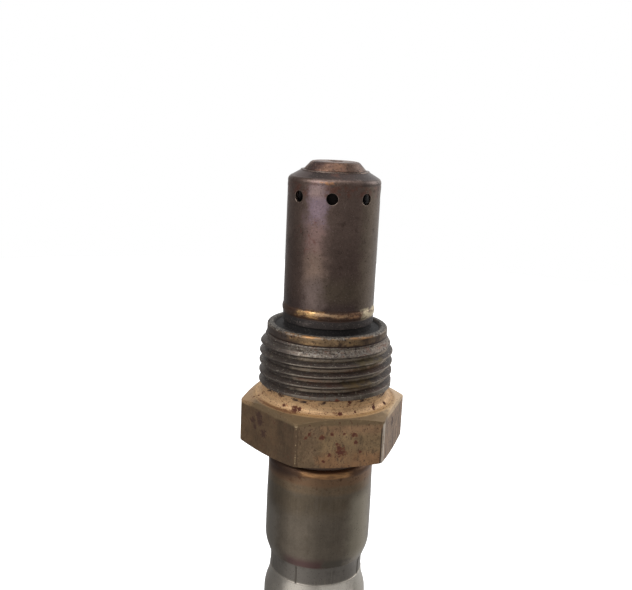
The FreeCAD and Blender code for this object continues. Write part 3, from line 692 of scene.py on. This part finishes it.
def tube_finish():
    """Heat-tinted protection tube: lilac to brown, with painted highlights on its left and on its
    shoulder, painted rim light on its right, a golden weld and soot at its foot.
    """
    tube = Finish("heat_tinted_tube", colour(102, 85, 77), 0.4, 0.85)
    tube.paint(tube.belt(BELOW_TUBE, 13.0, 5.0, 2.0), colour(90, 74, 67))
    brown = tube.both(tube.belt(3.5, 7.5, 3.0, 1.5), tube.stretch(20, 30, 20, 60))
    tube.paint(brown, colour(92, 79, 67))
    tube.paint(tube.belt(BELOW_TUBE, 4.5, 2.0, 1.0), colour(78, 64, 60))
    # Painted rim light: the tube's right edge is painted lighter.
    tube.paint(tube.stretch(58, 10, 18, 30), colour(102, 89, 77))
    # Painted highlight: a lobe left of the middle is painted lighter, in the oxide's lilac, reddish,
    # tan and brown tints from top to bottom.
    tinted_highlight_lobe = tube.stretch(-21, 4, 16, 30)
    tube.paint(tube.both(tinted_highlight_lobe, tube.belt(15.0, 20.5, 3.0, 2.0)), colour(138, 118, 125))
    tube.paint(tube.both(tinted_highlight_lobe, tube.belt(11.0, 15.5, 3.0, 2.0)), colour(130, 105, 99))
    tube.paint(tube.both(tinted_highlight_lobe, tube.belt(7.0, 11.5, 3.0, 2.5)), colour(128, 107, 95))
    tube.paint(tube.both(tinted_highlight_lobe, tube.belt(3.2, 7.5, 3.0, 2.0)), colour(114, 98, 92))
    bluish = tube.both(tinted_highlight_lobe, tube.belt(14.5, 19.5, 2.0, 1.5), tube.specks(3.6, 0.4, 0.3))
    tube.paint(bluish, colour(126, 116, 144))
    reddish = tube.both(tube.stretch(-34, 6, 12, 60), tube.belt(10.5, 16.0, 2.0, 2.0))
    tube.speckle(reddish, (0.9, 0.5, 0.2), colour(108, 72, 66))
    tube.speckle(tube.belt(19.2, 21.0, 0.7, 1.0), (0.8, 0.8, 0.2), colour(106, 74, 64))
    cone_right = tube.both(tube.stretch(56, 14, 14, 20), tube.belt(20.8, 23.0, 0.5, 0.3))
    tube.paint(cone_right, colour(84, 71, 66))
    # Painted highlight: a soft glow high on the tube's left.
    light = tube.both(tube.stretch(-22, 4, 10, 24), tube.belt(19.1, 20.6, 1.4, 0.8))
    tube.paint(light, colour(150, 128, 124))
    tube.mottle(0.7, 0.8)
    tube.paint(tube.both(tube.specks(0.6, 0.3, 0.2), tube.inverse(tinted_highlight_lobe)), colour(64, 50, 44), 0.5)
    # Cone painted darker over its front and right.
    cone_darker = tube.both(tube.stretch(25, 60, 15, 30), tube.belt(21.6, 22.9, 0.4, 0.4))
    tube.paint(cone_darker, colour(62, 50, 47))
    cone_left = tube.both(tube.stretch(-75, 30, 15, 30), tube.belt(21.6, 22.8, 0.4, 0.4))
    tube.paint(cone_left, colour(92, 77, 73))
    # Wear and painted highlight: the shoulder's arc is painted lighter at the front.
    shoulder_wear_and_highlight = tube.both(tube.belt(21.05, 21.6, 0.35, 0.5, 0.8), tube.stretch(4, 22, 16, 30))
    tube.speckle(shoulder_wear_and_highlight, (2.4, 0.8, 0.2), colour(120, 101, 93), 0.44)
    thin_shoulder_wear_and_highlight = tube.both(tube.belt(21.1, 21.6, 0.3, 0.6, 0.8), tube.specks(2.6, 0.35, 0.15))
    tube.paint(tube.both(thin_shoulder_wear_and_highlight, tube.stretch(-10, 40, 16)), colour(108, 92, 86), 0.42)
    # Painted highlight: an orange glint on the shoulder's front.
    orange = tube.both(tube.belt(20.9, 21.35, 0.3, 0.3), tube.stretch(-8, 9, 6, 20))
    tube.speckle(orange, (1.8, 0.7, 0.2), colour(150, 109, 80))
    cone_red = tube.both(tube.stretch(10, 10, 10, 30), tube.belt(21.8, 22.9, 0.5, 0.4))
    tube.speckle(cone_red, (0.9, 0.7, 0.3), colour(108, 70, 58))
    golden_weld(tube)
    tube.paint(tube.belt(BELOW_TUBE, 1.7, 0.35, 0.4), colour(58, 51, 49), 0.6, 0.5)
    foot_lines = tube.both(tube.belt(BELOW_TUBE, 1.6, 0.3), tube.specks(1.6, 0.45, 0.15, ROUND))
    tube.paint(foot_lines, colour(84, 75, 71), 0.5)
    foot_dark = tube.both(tube.belt(BELOW_TUBE, 1.7, 0.3), tube.specks(1.1, 0.35, 0.2, ROUND))
    tube.paint(foot_dark, colour(42, 36, 34), 0.65)
    foot_left = tube.both(tube.belt(BELOW_TUBE, 1.7, 0.3, 0.3), tube.stretch(-66, 22, 20, 30))
    tube.paint(foot_left, colour(44, 39, 38), 0.6)
    tube.speckle(tube.belt(BELOW_TUBE, 1.6, 0.3), (5.0, 0.15, 0.08), colour(126, 116, 108), 0.5)
    above = tube.belt(1.8, PAST_TIP, 0.4)
    tube.speckle(above, (5.0, 0.26, 0.14), colour(62, 50, 45), 0.6)
    tube.speckle(above, (5.5, 0.16, 0.12), colour(128, 112, 103), 0.45)
    scratched = tube.both(tube.belt(4.0, 19.0, 2.0), tube.scratches(0.35, 0.004, 0.35))
    tube.paint(scratched, colour(122, 107, 97))
    tube.paint(tube.both(above, tube.edges(0.1, 0.12, 0.4)), colour(150, 132, 120), 0.4)
    return tube.done(0.016, 0.012, 0.12)


def golden_weld(tube):
    """Weld seam round the tube's foot: gold, brown and a cream patch, all broken up."""
    tube.paint(tube.belt(1.75, 3.1, 0.5, 0.6, 0.6), colour(86, 66, 55), 0.45)
    gold = tube.both(tube.belt(1.95, 3.2, 0.5, 0.7, 0.6), tube.stretch(-23, 9, 12, 30))
    tube.speckle(gold, (1.6, 1.0, 0.3, DRAWN), colour(186, 144, 98), 0.36, 0.95)
    tube.speckle(gold, (1.8, 0.35, 0.15, DRAWN), colour(136, 84, 52), 0.4)
    core = tube.both(tube.belt(2.45, 2.95, 0.4, 0.6, 0.9), tube.stretch(-23, 7, 12, 40))
    tube.speckle(core, (2.4, 0.8, 0.2, DRAWN), colour(226, 186, 128), 0.32, 1.0)
    thin = tube.both(tube.belt(2.45, 2.8, 0.3, 0.5, 0.8), tube.stretch(3, 14, 10, 30))
    tube.speckle(thin, (1.6, 1.2, 0.25, DRAWN), colour(206, 170, 132), 0.36)
    brown = tube.both(tube.belt(2.2, 2.95, 0.4, 0.5, 0.6), tube.stretch(30, 16, 10, 30))
    tube.speckle(brown, (1.2, 0.9, 0.25, DRAWN), colour(166, 126, 94), 0.36)
    dark_ring = tube.both(tube.belt(1.9, 3.2, 0.4), tube.specks(1.5, 0.35, 0.12, DRAWN))
    tube.paint(dark_ring, colour(70, 46, 36), 0.5)
    tube.speckle(tube.belt(1.8, 3.3, 0.3), (4.5, 0.3, 0.12), colour(84, 54, 40), 0.5)
    cream = tube.both(tube.belt(1.75, 3.3, 0.4, 0.9, 0.9), tube.stretch(67, 14, 14, 30))
    tube.speckle(cream, (1.3, 1.3, 0.25, DRAWN), colour(200, 184, 152), 0.45, 0.6)


def nose_finish():
    """Copper-brown nose of the inner tube, dark with soot and painted shade further down."""
    nose = Finish("copper_brown_nose", colour(110, 84, 70), 0.42, 0.85)
    nose.paint(nose.stretch(-45, 12, 14, 40), colour(84, 66, 62))
    nose.paint(nose.specks(0.8, 0.5, 0.2), colour(84, 62, 56), 0.5)
    nose.speckle(nose.belt(23.3, 24.0, 0.3), (0.9, 0.6, 0.2), colour(128, 98, 86), 0.38)
    nose.speckle(nose.belt(22.5, 23.2, 0.4), (1.0, 0.5, 0.2), colour(132, 96, 78), 0.38)
    nose.paint(nose.stretch(52, 26, 16, 30), colour(90, 70, 59))
    nose.speckle(nose.stretch(6, 16, 14, 30), (1.2, 0.6, 0.3), colour(132, 98, 76), 0.38)
    nose.mottle(0.9, 1.0)
    nose.paint(nose.specks(2.6, 0.35, 0.12), colour(56, 42, 40), 0.55)
    nose.paint(nose.specks(4.5, 0.2, 0.1), colour(150, 124, 110), 0.45)
    # Soot and painted shade: the part inside the outer tube, seen through its holes, is painted near
    # black.
    nose.paint(nose.belt(-5.0, 21.4, 1.0), colour(42, 33, 30), 0.55, 0.6)
    return nose.done(0.02, 0.014, 0.12)


def shell_finish():
    """Seat collar: sooty dish, speckled rim with a painted highlight at its front, patchy golden side,
    painted shade under it, and the brown neck behind, painted darker for the shade it lies in.
    """
    shell = Finish("golden_brown_collar", colour(96, 79, 60), 0.5, 0.75)
    shell.paint(shell.stretch(-70, 34, 14, 40), colour(74, 64, 58), 0.5)
    shell.paint(shell.stretch(0, 18, 14, 30), colour(134, 110, 82))
    gold = shell.both(shell.stretch(-12, 18, 16, 40), shell.specks(0.9, 0.7, 0.25, ROUND))
    shell.paint(gold, colour(158, 126, 88))
    shell.speckle(shell.stretch(-28, 5, 6, 30), (1.6, 0.7, 0.2), colour(70, 48, 40), 0.5)
    shell.speckle(shell.stretch(20, 45, 14), (0.9, 0.3, 0.15, ROUND), colour(134, 108, 76))
    shell.speckle(shell.stretch(32, 24, 16), (0.8, 0.9, 0.25), colour(64, 49, 39), 0.5)
    shell.paint(shell.specks(1.6, 0.4, 0.15, DRAWN), colour(84, 66, 50), 0.5)
    side = ramp(shell.tree, shell.place["Radius"], *COLLAR_SIDE)
    shell.turning_marks(side, 2.0, 0.8)
    shell.mottle(1.1, 1.2)
    shell.paint(shell.specks(2.0, 0.3, 0.1), colour(56, 44, 38), 0.55)
    # Painted shade: a dark line under the collar, where it meets the nut.
    shell.paint(shell.belt(-1.6, -1.2, 0.2, 0.2), colour(58, 44, 38), 0.55)
    shell.paint(shell.belt(-0.12, PAST_TIP, 0.1), colour(62, 58, 54), 0.6, 0.5)
    inside = ramp(shell.tree, shell.place["Radius"], *DISH_EDGE, 1.0, 0.0)
    dust = shell.both(shell.belt(-0.3, 0.2, 0.1), shell.inverse(inside), shell.specks(3.4, 0.6, 0.12))
    shell.paint(dust, colour(126, 118, 108), 0.6, 0.3)
    shell.speckle(shell.belt(-0.12, PAST_TIP, 0.1), (2.4, 0.35, 0.12), colour(44, 40, 38), 0.6)
    # Painted highlight: an orange glint along the front of the collar's rim.
    rim_highlight = shell.both(shell.belt(-0.35, 0.1, 0.15), side, shell.stretch(0, 32, 16, 30))
    shell.speckle(rim_highlight, (1.6, 0.7, 0.2, ROUND), colour(160, 120, 80), 0.42, 0.9)
    dish = shell.both(shell.belt(-0.6, PAST_TIP, 0.1), inside)
    shell.paint(dish, colour(34, 31, 31), 0.7, 0.4)
    shell.speckle(dish, (3.4, 0.3, 0.12), colour(70, 66, 62), 0.7)
    # Brown neck, also painted darker for the shade it lies in between nut and sleeve.
    shell.paint(shell.belt(PAST_END, -3.0, 0.3), colour(92, 72, 58), 0.6, 0.3)
    return shell.done(0.025, 0.014, 0.12)


def nut_finish():
    """Tarnished nut: sooty thread with painted light and shade, tan neck and face, olive-brown flats
    and rust.
    """
    nut = Finish("tarnished_nut", colour(146, 120, 88), 0.5, 0.6)
    tarnished_flats(nut)
    tan_face(nut)
    thread_soot_and_painted_light(nut)
    for azimuth, radius, height, size, ragged in RUST_SPOTS:
        fringe = nut.spot(azimuth, radius, height, size, ragged)
        nut.paint(fringe, colour(100, 56, 30), 0.85, 0.0)
        core = nut.spot(azimuth, radius, height, RUST_CORE * size, ragged)
        nut.paint(core, colour(78, 36, 18), 0.85)
    for place in OLD_STAINS:
        nut.paint(nut.spot(*place), colour(66, 43, 31), 0.62, 0.4)
    nut.speckle(nut.belt(PAST_END, -9.0, 0.2), (2.4, 0.14, 0.08), colour(88, 54, 38), 0.7, 0.3)
    return nut.done(0.03, 0.018, 0.09)


def tarnished_flats(nut):
    """Flats of the hexagon, streaked and mottled, with rubbed corners and painted shade on the rear
    chamfer.
    """
    nut.paint(nut.stretch(LEFT_FACE, FACE_HALF, FACE_EDGE), colour(100, 78, 56))
    nut.paint(nut.stretch(-24, 6, 8, 6), colour(88, 69, 50))
    right = nut.stretch(RIGHT_FACE, FACE_HALF, FACE_EDGE)
    nut.paint(right, colour(138, 110, 84))
    front = nut.stretch(FRONT_FACE, FACE_HALF, FACE_EDGE)
    nut.paint(nut.both(front, nut.belt(-19.0, -16.2, 1.6, 1.0)), colour(146, 110, 78))
    nut.paint(nut.both(front, nut.belt(-13.4, -12.0, 0.9, 0.8)), colour(150, 118, 88))
    nut.paint(nut.both(nut.stretch(-12, 6, 8, 30), front), colour(126, 103, 78))
    nut.mottle(1.4, 1.1)
    nut.paint(nut.specks(0.8, 0.45, 0.3, TALL), colour(112, 92, 68), 0.5)
    nut.paint(nut.specks(1.7, 0.5, 0.25, TALL), colour(100, 81, 60), 0.55)
    nut.paint(nut.specks(3.2, 0.36, 0.16, OVAL), colour(84, 66, 50), 0.6)
    nut.speckle(front, (1.4, 0.3, 0.3), colour(164, 138, 104), 0.45)
    light_patch = nut.both(nut.spot(17.4, 11.0, -17.0, 1.6, 1.6, 0.8), nut.specks(1.8, 0.9, 0.4))
    nut.paint(light_patch, colour(160, 128, 94))
    grey_patch = nut.both(nut.spot(37.0, 11.4, -15.6, 2.2, 2.0, 0.8), nut.specks(2.2, 0.8, 0.4))
    nut.paint(grey_patch, colour(84, 72, 56))
    corner = nut.both(nut.stretch(44.4, 1.6, 0.8), nut.belt(CORNER_REAR, -12.1, 0.4))
    nut.speckle(corner, (1.6, 1.3, 0.3, ALONG), colour(196, 184, 168), 0.5)
    beside = nut.both(nut.stretch(41.7, 0.3, 0.6), nut.belt(CORNER_REAR, -12.6, 0.6))
    nut.paint(beside, colour(72, 59, 46), 0.6)
    dark_corner = nut.both(nut.stretch(-17.5, 0.9, 0.9, 2), nut.belt(CORNER_REAR, -12.0, 0.4))
    nut.paint(dark_corner, colour(90, 71, 52), 0.58)
    rubbed = nut.both(nut.stretch(-17.4, 0.1, 0.35), nut.belt(CORNER_REAR, -11.6, 0.4))
    nut.speckle(rubbed, (2.6, 0.45, 0.1), colour(170, 146, 112), 0.48)
    nut.paint(nut.spot(-17.5, 12.4, -11.9, 0.4, 1.2), colour(186, 164, 130))
    # Painted shade: darker specks on the hexagon's rear chamfer.
    nut.speckle(nut.belt(-19.0, -18.1, 0.3), (1.2, 0.5, 0.2), colour(110, 82, 60))
    streaks = nut.both(right, nut.specks(1.0, 0.4, 0.15, ALONG))
    nut.paint(streaks, colour(92, 70, 56), 0.55)


def tan_face(nut):
    """Washer face, neck and chamfer in front of the flats."""
    below = ramp(nut.tree, nut.place["Height"], *CHAMFER_TOP, 1.0, 0.0)
    chamfer = nut.both(nut.belt(-12.1, -10.5, 0.4, 0.3), below)
    nut.paint(chamfer, colour(122, 101, 74), 0.5)
    nut.speckle(chamfer, (1.2, 0.5, 0.3), colour(140, 117, 86), 0.48)
    nut.paint(nut.both(chamfer, nut.stretch(86, 26, 12, 20)), colour(190, 162, 126), 0.5)
    nut.paint(nut.both(chamfer, nut.stretch(-92, 20, 10, 20)), colour(166, 134, 98), 0.5)
    face = nut.both(nut.belt(-11.5, -9.0, 0.2, 0.15), nut.inverse(below))
    nut.paint(face, colour(194, 160, 120), 0.58)
    outer = ramp(nut.tree, nut.place["Radius"], *FACE_RIM)
    nut.paint(nut.both(face, outer), colour(188, 152, 106), 0.52)
    left_edge = nut.both(face, outer, nut.stretch(-44, 14, 14, 30))
    nut.paint(left_edge, colour(138, 102, 70), 0.55)
    nut.turning_marks(face, 2.6, 1.0)
    nut.speckle(face, (1.0, 0.4, 0.3, DRAWN), colour(160, 126, 92), 0.6)
    nut.speckle(face, (2.2, 0.35, 0.15, DRAWN), colour(132, 96, 68), 0.6)
    nut.speckle(face, (4.5, 0.3, 0.1), colour(116, 80, 54), 0.6)
    orange = nut.both(nut.belt(-10.6, -8.9, 0.4, 0.3), nut.stretch(-44, 22, 16, 30))
    nut.speckle(orange, (1.4, 0.4, 0.2), colour(156, 98, 56), 0.6)
    # Dark specks along the thread's base.
    relief_dark_specks = nut.both(nut.belt(-9.7, -8.8, 0.3, 0.5, 0.9), nut.specks(1.5, 0.5, 0.12, DRAWN))
    nut.paint(relief_dark_specks, colour(62, 46, 40), 0.6)


def thread_soot_and_painted_light(nut):
    """Thread: worn crests with painted highlights, painted shade on the flanks, painted light on the
    roots, and dust, soot and rust over them, with the rust painted lighter on the roots and darker on
    the flanks.
    """
    radius = nut.place["Radius"]
    thread = nut.belt(-8.9, 0.0, 0.2, 0.25, 1.2)
    nut.paint(thread, colour(112, 102, 92), 0.48, 0.7)
    turns = nut.both(thread, nut.belt(-9.5, -3.1, 0.3))
    off_root = ramp(nut.tree, radius, *THREAD_ROOT)
    below_crest = ramp(nut.tree, radius, *THREAD_CREST, 1.0, 0.0)
    # Painted shade on the flanks and painted light on the roots.
    nut.paint(nut.both(turns, off_root, below_crest), colour(60, 51, 46), 0.55, 0.5)
    nut.paint(nut.both(turns, nut.inverse(off_root)), colour(142, 128, 112), 0.45, 0.7)
    first = nut.belt(-3.0, -1.3, 0.3, 0.4)
    nut.speckle(first, (1.2, 0.5, 0.3, DRAWN), colour(82, 72, 66), 0.55, 0.5)
    pale = nut.both(first, nut.stretch(-4, 26, 20, 40))
    nut.speckle(pale, (2.0, 0.5, 0.2, DRAWN), colour(134, 128, 122), 0.5)
    nut.speckle(pale, (4.0, 0.3, 0.12), colour(174, 167, 158), 0.5, 0.5)
    nut.speckle(first, (2.2, 0.35, 0.12, DRAWN), colour(104, 70, 56), 0.6)
    nut.speckle(first, (2.6, 0.5, 0.12), colour(50, 42, 40), 0.65)
    rusty = nut.both(nut.belt(-8.4, -4.6, 0.8, 0.6), nut.specks(0.7, 0.8, 0.25, ROUND))
    # Rust painted lighter on the roots and darker on the flanks, as painted light and shade.
    nut.paint(nut.both(rusty, nut.inverse(off_root)), colour(140, 98, 76), 0.5)
    nut.paint(nut.both(rusty, off_root, below_crest), colour(78, 54, 44), 0.6)
    nut.paint(nut.both(thread, nut.stretch(-72, 30, 20, 40)), colour(72, 64, 59), 0.5, 0.6)
    # Thread painted darker on its right side, lower down.
    darker_right = nut.both(nut.belt(-9.0, -5.5, 1.0, 1.0), nut.stretch(36, 16, 16, 40))
    nut.speckle(darker_right, (0.9, 0.9, 0.3, DRAWN), colour(74, 66, 56), 0.5)
    nut.speckle(thread, (1.6, 0.35, 0.3, DRAWN), colour(126, 118, 104), 0.48)
    nut.speckle(thread, (1.7, 0.35, 0.2, DRAWN), colour(62, 53, 47), 0.6)
    nut.speckle(thread, (2.4, 0.35, 0.2), colour(66, 57, 51), 0.6)
    nut.speckle(thread, (3.4, 0.24, 0.14), colour(160, 152, 138), 0.45)
    nut.speckle(thread, (3.2, 0.26, 0.14), colour(88, 60, 44), 0.6)
    # Worn crests with painted highlights along their edges.
    crest_wear_and_highlight = nut.both(thread, nut.edges(0.08, 0.2, 0.9), nut.specks(1.4, 0.9, 0.3, ROUND))
    nut.paint(crest_wear_and_highlight, colour(186, 176, 160), 0.4, 0.9)
    upper_olive = nut.both(nut.belt(-4.9, -3.2, 0.6, 0.6), nut.stretch(42, 10, 8, 20))
    nut.speckle(upper_olive, (1.1, 1.2, 0.3), colour(90, 78, 54), 0.55)
    lower_olive = nut.both(nut.belt(-7.6, -6.2, 0.6, 0.6), nut.stretch(30, 10, 8, 20))
    nut.speckle(lower_olive, (1.1, 1.2, 0.3), colour(102, 84, 56), 0.55)
    groove_end = nut.both(nut.belt(-9.2, -7.6, 0.4, 0.5), nut.stretch(180, 24, 14, 20))
    nut.paint(groove_end, colour(58, 50, 45), 0.6, 0.5)


def sleeve_finish():
    """Sleeve: burnt ring at the front, grey-brown barrel with painted reflections at its sides, dull
    crimp band, bright tail with a painted highlight in front and painted shade at its sides.
    """
    sleeve = Finish("satin_sleeve", colour(112, 102, 90), 0.38, 0.95)
    sleeve.paint(sleeve.belt(-27.5, -24.0, 2.5, 2.0), colour(106, 94, 79))
    sleeve.paint(sleeve.belt(-24.2, -22.6, 0.8, 0.6), colour(120, 102, 82))
    sleeve.streaks(HAIRLINE, 2.2, 0.3)
    sleeve.mottle(0.55, 0.5)
    sleeve.speckle(sleeve.belt(-36.4, -23.0, 1.0), (0.4, 0.4, 0.3), colour(97, 87, 75))
    light = sleeve.both(sleeve.belt(-34.0, -23.5, 1.5), sleeve.specks(1.0, 0.35, 0.3, ALONG))
    sleeve.paint(light, colour(120, 109, 96))
    # Painted reflections: the barrel's right and far left sides are painted lighter.
    right = sleeve.both(sleeve.belt(-35.5, -25.0, 2.5), sleeve.stretch(52, 8, 18, 20))
    sleeve.paint(right, colour(146, 137, 121), 0.42)
    far_left_reflection = sleeve.both(sleeve.belt(-36.0, -28.0, 3.0), sleeve.stretch(-66, 10, 14, 20))
    sleeve.paint(far_left_reflection, colour(134, 126, 116), 0.42)
    burnt_ring(sleeve)
    maroon = sleeve.both(sleeve.belt(BAND_FRONT, -34.8, 1.6, 0.9), sleeve.stretch(-14, 12, 20, 30))
    sleeve.paint(maroon, colour(98, 75, 72))
    # Barrel painted darker right of the maroon, just above the band.
    darker_patch = sleeve.both(sleeve.belt(BAND_FRONT, -34.8, 1.2, 0.9), sleeve.stretch(22, 8, 12, 30))
    sleeve.paint(darker_patch, colour(92, 85, 76))
    band = sleeve.belt(-39.45, -36.35, 0.4, 0.3, 1.4)
    sleeve.paint(band, colour(122, 116, 109), 0.44)
    sleeve.speckle(band, (0.5, 0.45, 0.25), colour(102, 96, 89), 0.46)
    sleeve.speckle(band, (1.6, 0.4, 0.2, ALONG), colour(138, 130, 120), 0.42)
    tail = sleeve.belt(PAST_END, -39.35, 0.7)
    sleeve.paint(tail, colour(206, 198, 187), 0.3)
    # Painted highlight on the tail's front and painted shade at its sides.
    sleeve.paint(sleeve.both(tail, sleeve.stretch(24, 14, 12, 20)), colour(236, 228, 216), 0.34)
    sleeve.paint(sleeve.both(tail, sleeve.stretch(78, 20, 12, 20)), colour(164, 158, 148), 0.36)
    sleeve.paint(sleeve.both(tail, sleeve.stretch(-70, 26, 12, 20)), colour(162, 155, 146), 0.38)
    sleeve.speckle(tail, (0.45, 0.3, 0.25), colour(178, 170, 160), 0.34)
    seam = sleeve.both(band, sleeve.stretch(JAW_SEAM_AZIMUTH, 0.5, 1.0))
    sleeve.paint(seam, colour(106, 99, 91), 0.46)
    sleeve.paint(sleeve.specks(5.0, 0.12, 0.1), colour(78, 70, 62), 0.5)
    rubbed = sleeve.both(sleeve.edges(0.08, 0.14, 0.6), sleeve.inverse(band))
    sleeve.paint(rubbed, colour(160, 150, 138), 0.38)
    return sleeve.done(0.007, 0.005, 0.1)


def burnt_ring(sleeve):
    """Front end of the sleeve, burnt brown, with a painted bronze highlight in the middle and painted
    shade on its left.
    """
    sleeve.paint(sleeve.belt(-22.9, -21.5, 0.7, 0.7), colour(128, 101, 78), 0.42)
    sleeve.paint(sleeve.belt(-21.6, BEFORE_SLEEVE, 0.4, 0.4), colour(96, 72, 56), 0.45)
    # Painted shade: the ring's left side is painted darker.
    dark_front = sleeve.belt(-22.3, BEFORE_SLEEVE, 1.6, 0.5)
    dark_left = sleeve.both(dark_front, sleeve.stretch(-52, 12, 26, 12))
    sleeve.paint(dark_left, colour(78, 60, 50), 0.48)
    # Painted highlight: a bronze glint on the ring's front.
    bronze = sleeve.both(sleeve.belt(-21.55, -20.8, 0.4, 0.2), sleeve.stretch(8, 18, 16, 20))
    sleeve.speckle(bronze, (1.2, 1.3, 0.3, ROUND), colour(196, 148, 102), 0.34)
    stains = sleeve.both(sleeve.belt(-23.4, -21.4, 0.6), sleeve.specks(0.9, 0.4, 0.2))
    sleeve.paint(stains, colour(88, 62, 46), 0.46)


def plain_finish(name, base, roughness, metallic, broad, fine, speck_colour, cover, pits):
    """Plain finish of an inner piece: cloudy tone, fine dark specks and a little relief."""
    piece = Finish(name, colour(*base), roughness, metallic)
    piece.mottle(broad, fine)
    piece.paint(piece.specks(2.5, cover), colour(*speck_colour), min(roughness + 0.15, 0.95))
    return piece.done(pits, pits / 2, 0.08)


def grommet_finish():
    """Black moulded rubber with a little dust."""
    rubber = Finish("dusty_rubber", colour(38, 37, 36), 0.72, 0.0)
    rubber.mottle(0.3, 0.3)
    rubber.paint(rubber.specks(1.2, 0.35, 0.3), colour(66, 62, 57), 0.85)
    rubber.paint(rubber.edges(0.3, 0.1, 0.5), colour(74, 71, 67), 0.8)
    return rubber.done(0.02, 0.02, 0.15)


def dress_nodes():
    """Gives each CAD node the material of its slot in the record."""
    finishes = {
        "tube_steel": tube_finish(),
        "nose_steel": nose_finish(),
        "shell_steel": shell_finish(),
        "nut_steel": nut_finish(),
        "sleeve_steel": sleeve_finish(),
    }
    for slot, values in PLAIN_FINISHES.items():
        finishes[slot] = plain_finish(*values)
    finishes["grommet_rubber"] = grommet_finish()
    for part in frame["record"]["subparts"]:
        mesh = frame["nodes"][part["node"]].data
        mesh.materials.clear()
        mesh.materials.append(finishes[part["material_slot"]])


def place_camera():
    """Camera of the photograph, which looks at the probe's axis from the -Y side."""
    lift = math.radians(CAMERA_ELEVATION)
    roll = math.radians(CAMERA_ROLL)
    back = Vector((0, -math.cos(lift), math.sin(lift)))
    right = Vector((1, 0, 0))
    up = Vector((0, math.sin(lift), math.cos(lift)))
    place = back * CAMERA_DISTANCE + right * CAMERA_RIGHT + up * CAMERA_UP
    turned_right = right * math.cos(roll) + up * math.sin(roll)
    turned_up = up * math.cos(roll) - right * math.sin(roll)
    data = bpy.data.cameras.new("photo_camera")
    data.sensor_width = SENSOR_WIDTH
    data.sensor_fit = "HORIZONTAL"
    data.lens = CAMERA_FOCAL_PIXELS / PHOTO_WIDTH * SENSOR_WIDTH
    data.clip_start = MILLIMETRE
    camera = bpy.data.objects.new("photo_camera", data)
    axes = Matrix((turned_right, turned_up, back)).transposed()
    camera.matrix_world = Matrix.Translation(place * MILLIMETRE) @ axes.to_4x4()
    bpy.context.scene.collection.objects.link(camera)
    bpy.context.scene.camera = camera


def place_lamp(name, azimuth, elevation, distance, size, power):
    """Square soft lamp that faces the middle of the probe, with distances in metres."""
    turn = math.radians(azimuth)
    lift = math.radians(elevation)
    level = math.cos(lift)
    towards = Vector((math.sin(turn) * level, -math.cos(turn) * level, math.sin(lift)))
    data = bpy.data.lights.new(name, "AREA")
    data.shape = "SQUARE"
    data.size = size
    data.energy = power
    lamp = bpy.data.objects.new(name, data)
    lamp.location = towards * distance
    lamp.rotation_euler = towards.to_track_quat("Z", "Y").to_euler()
    bpy.context.scene.collection.objects.link(lamp)


def mirrored_room(tree, place):
    """What metal mirrors of the studio: a grey room with soft panels and the white background."""
    parts = add_node(tree, "SeparateXYZ", {"Vector": place}).outputs
    angle = calc(tree, "ARCTAN2", parts["X"], calc(tree, "MULTIPLY", parts["Y"], -1.0))
    azimuth = calc(tree, "DEGREES", angle)
    level = ROOM_LIGHT
    for middle, half_width, softness, strength in SOFT_PANELS:
        values = {
            "Azimuth": azimuth,
            "Middle": middle,
            "Half Width": half_width,
            "Softness": softness,
        }
        level = calc(tree, "MULTIPLY_ADD", use(tree, SECTOR, values, "Mask"), strength, level)
    return level


def light_world():
    """White for the camera and glass, the studio for metal, and plain grey light."""
    world = bpy.data.worlds.new("studio")
    world.use_nodes = True
    tree = world.node_tree
    tree.nodes.clear()
    path = add_node(tree, "LightPath").outputs
    room = mirrored_room(tree, add_node(tree, "TexCoord").outputs["Generated"])
    seen = calc(tree, "MAXIMUM", path["Is Camera Ray"], path["Is Transmission Ray"])
    unseen = calc(tree, "SUBTRACT", 1.0, seen)
    mirrored = calc(tree, "MULTIPLY", path["Is Glossy Ray"], room)
    plain = calc(tree, "MULTIPLY", calc(tree, "SUBTRACT", 1.0, path["Is Glossy Ray"]), WORLD_LIGHT)
    light = calc(tree, "MULTIPLY_ADD", calc(tree, "ADD", mirrored, plain), unseen, seen)
    background = add_node(tree, "Background", {"Color": (1, 1, 1, 1), "Strength": light})
    output = add_node(tree, "OutputWorld")
    tree.links.new(background.outputs[0], output.inputs["Surface"])
    bpy.context.scene.world = world


def floor_material():
    """White floor with the object's shadow, which metal mirrors as the studio round it."""
    material = bpy.data.materials.new("white_floor")
    material.use_nodes = True
    tree = material.node_tree
    shader = tree.nodes["Principled BSDF"]
    path = add_node(tree, "LightPath").outputs
    room = mirrored_room(tree, add_node(tree, "TexCoord").outputs["Object"])
    seen = calc(tree, "MAXIMUM", path["Is Camera Ray"], path["Is Transmission Ray"])
    mirrored = calc(tree, "MULTIPLY", path["Is Glossy Ray"], room)
    glow = calc(tree, "MULTIPLY_ADD", seen, FLOOR_GLOW, mirrored)
    floor_colour = lay(tree, path["Is Glossy Ray"], colour(242, 242, 242), colour(0, 0, 0))
    feed(tree, shader.inputs["Base Color"], floor_colour)
    shader.inputs["Roughness"].default_value = 0.9
    shader.inputs["Emission Color"].default_value = (1, 1, 1, 1)
    feed(tree, shader.inputs["Emission Strength"], glow)
    return material


def place_floor(height):
    """Round pale floor under the probe."""
    rim = []
    for step in range(FLOOR_SEGMENTS):
        turn = 2 * math.pi * step / FLOOR_SEGMENTS
        rim.append((FLOOR_RADIUS * math.cos(turn), FLOOR_RADIUS * math.sin(turn), height))
    mesh = bpy.data.meshes.new("floor")
    mesh.from_pydata(rim, [], [range(FLOOR_SEGMENTS)])
    mesh.materials.append(floor_material())
    floor = bpy.data.objects.new("floor", mesh)
    bpy.context.scene.collection.objects.link(floor)


dress_nodes()
place_camera()
place_floor(cad_box[0][2])
for lamp_name, lamp_values in LAMPS.items():
    place_lamp(lamp_name, *lamp_values)
light_world()
bpy.context.scene.view_settings.view_transform = "Standard"
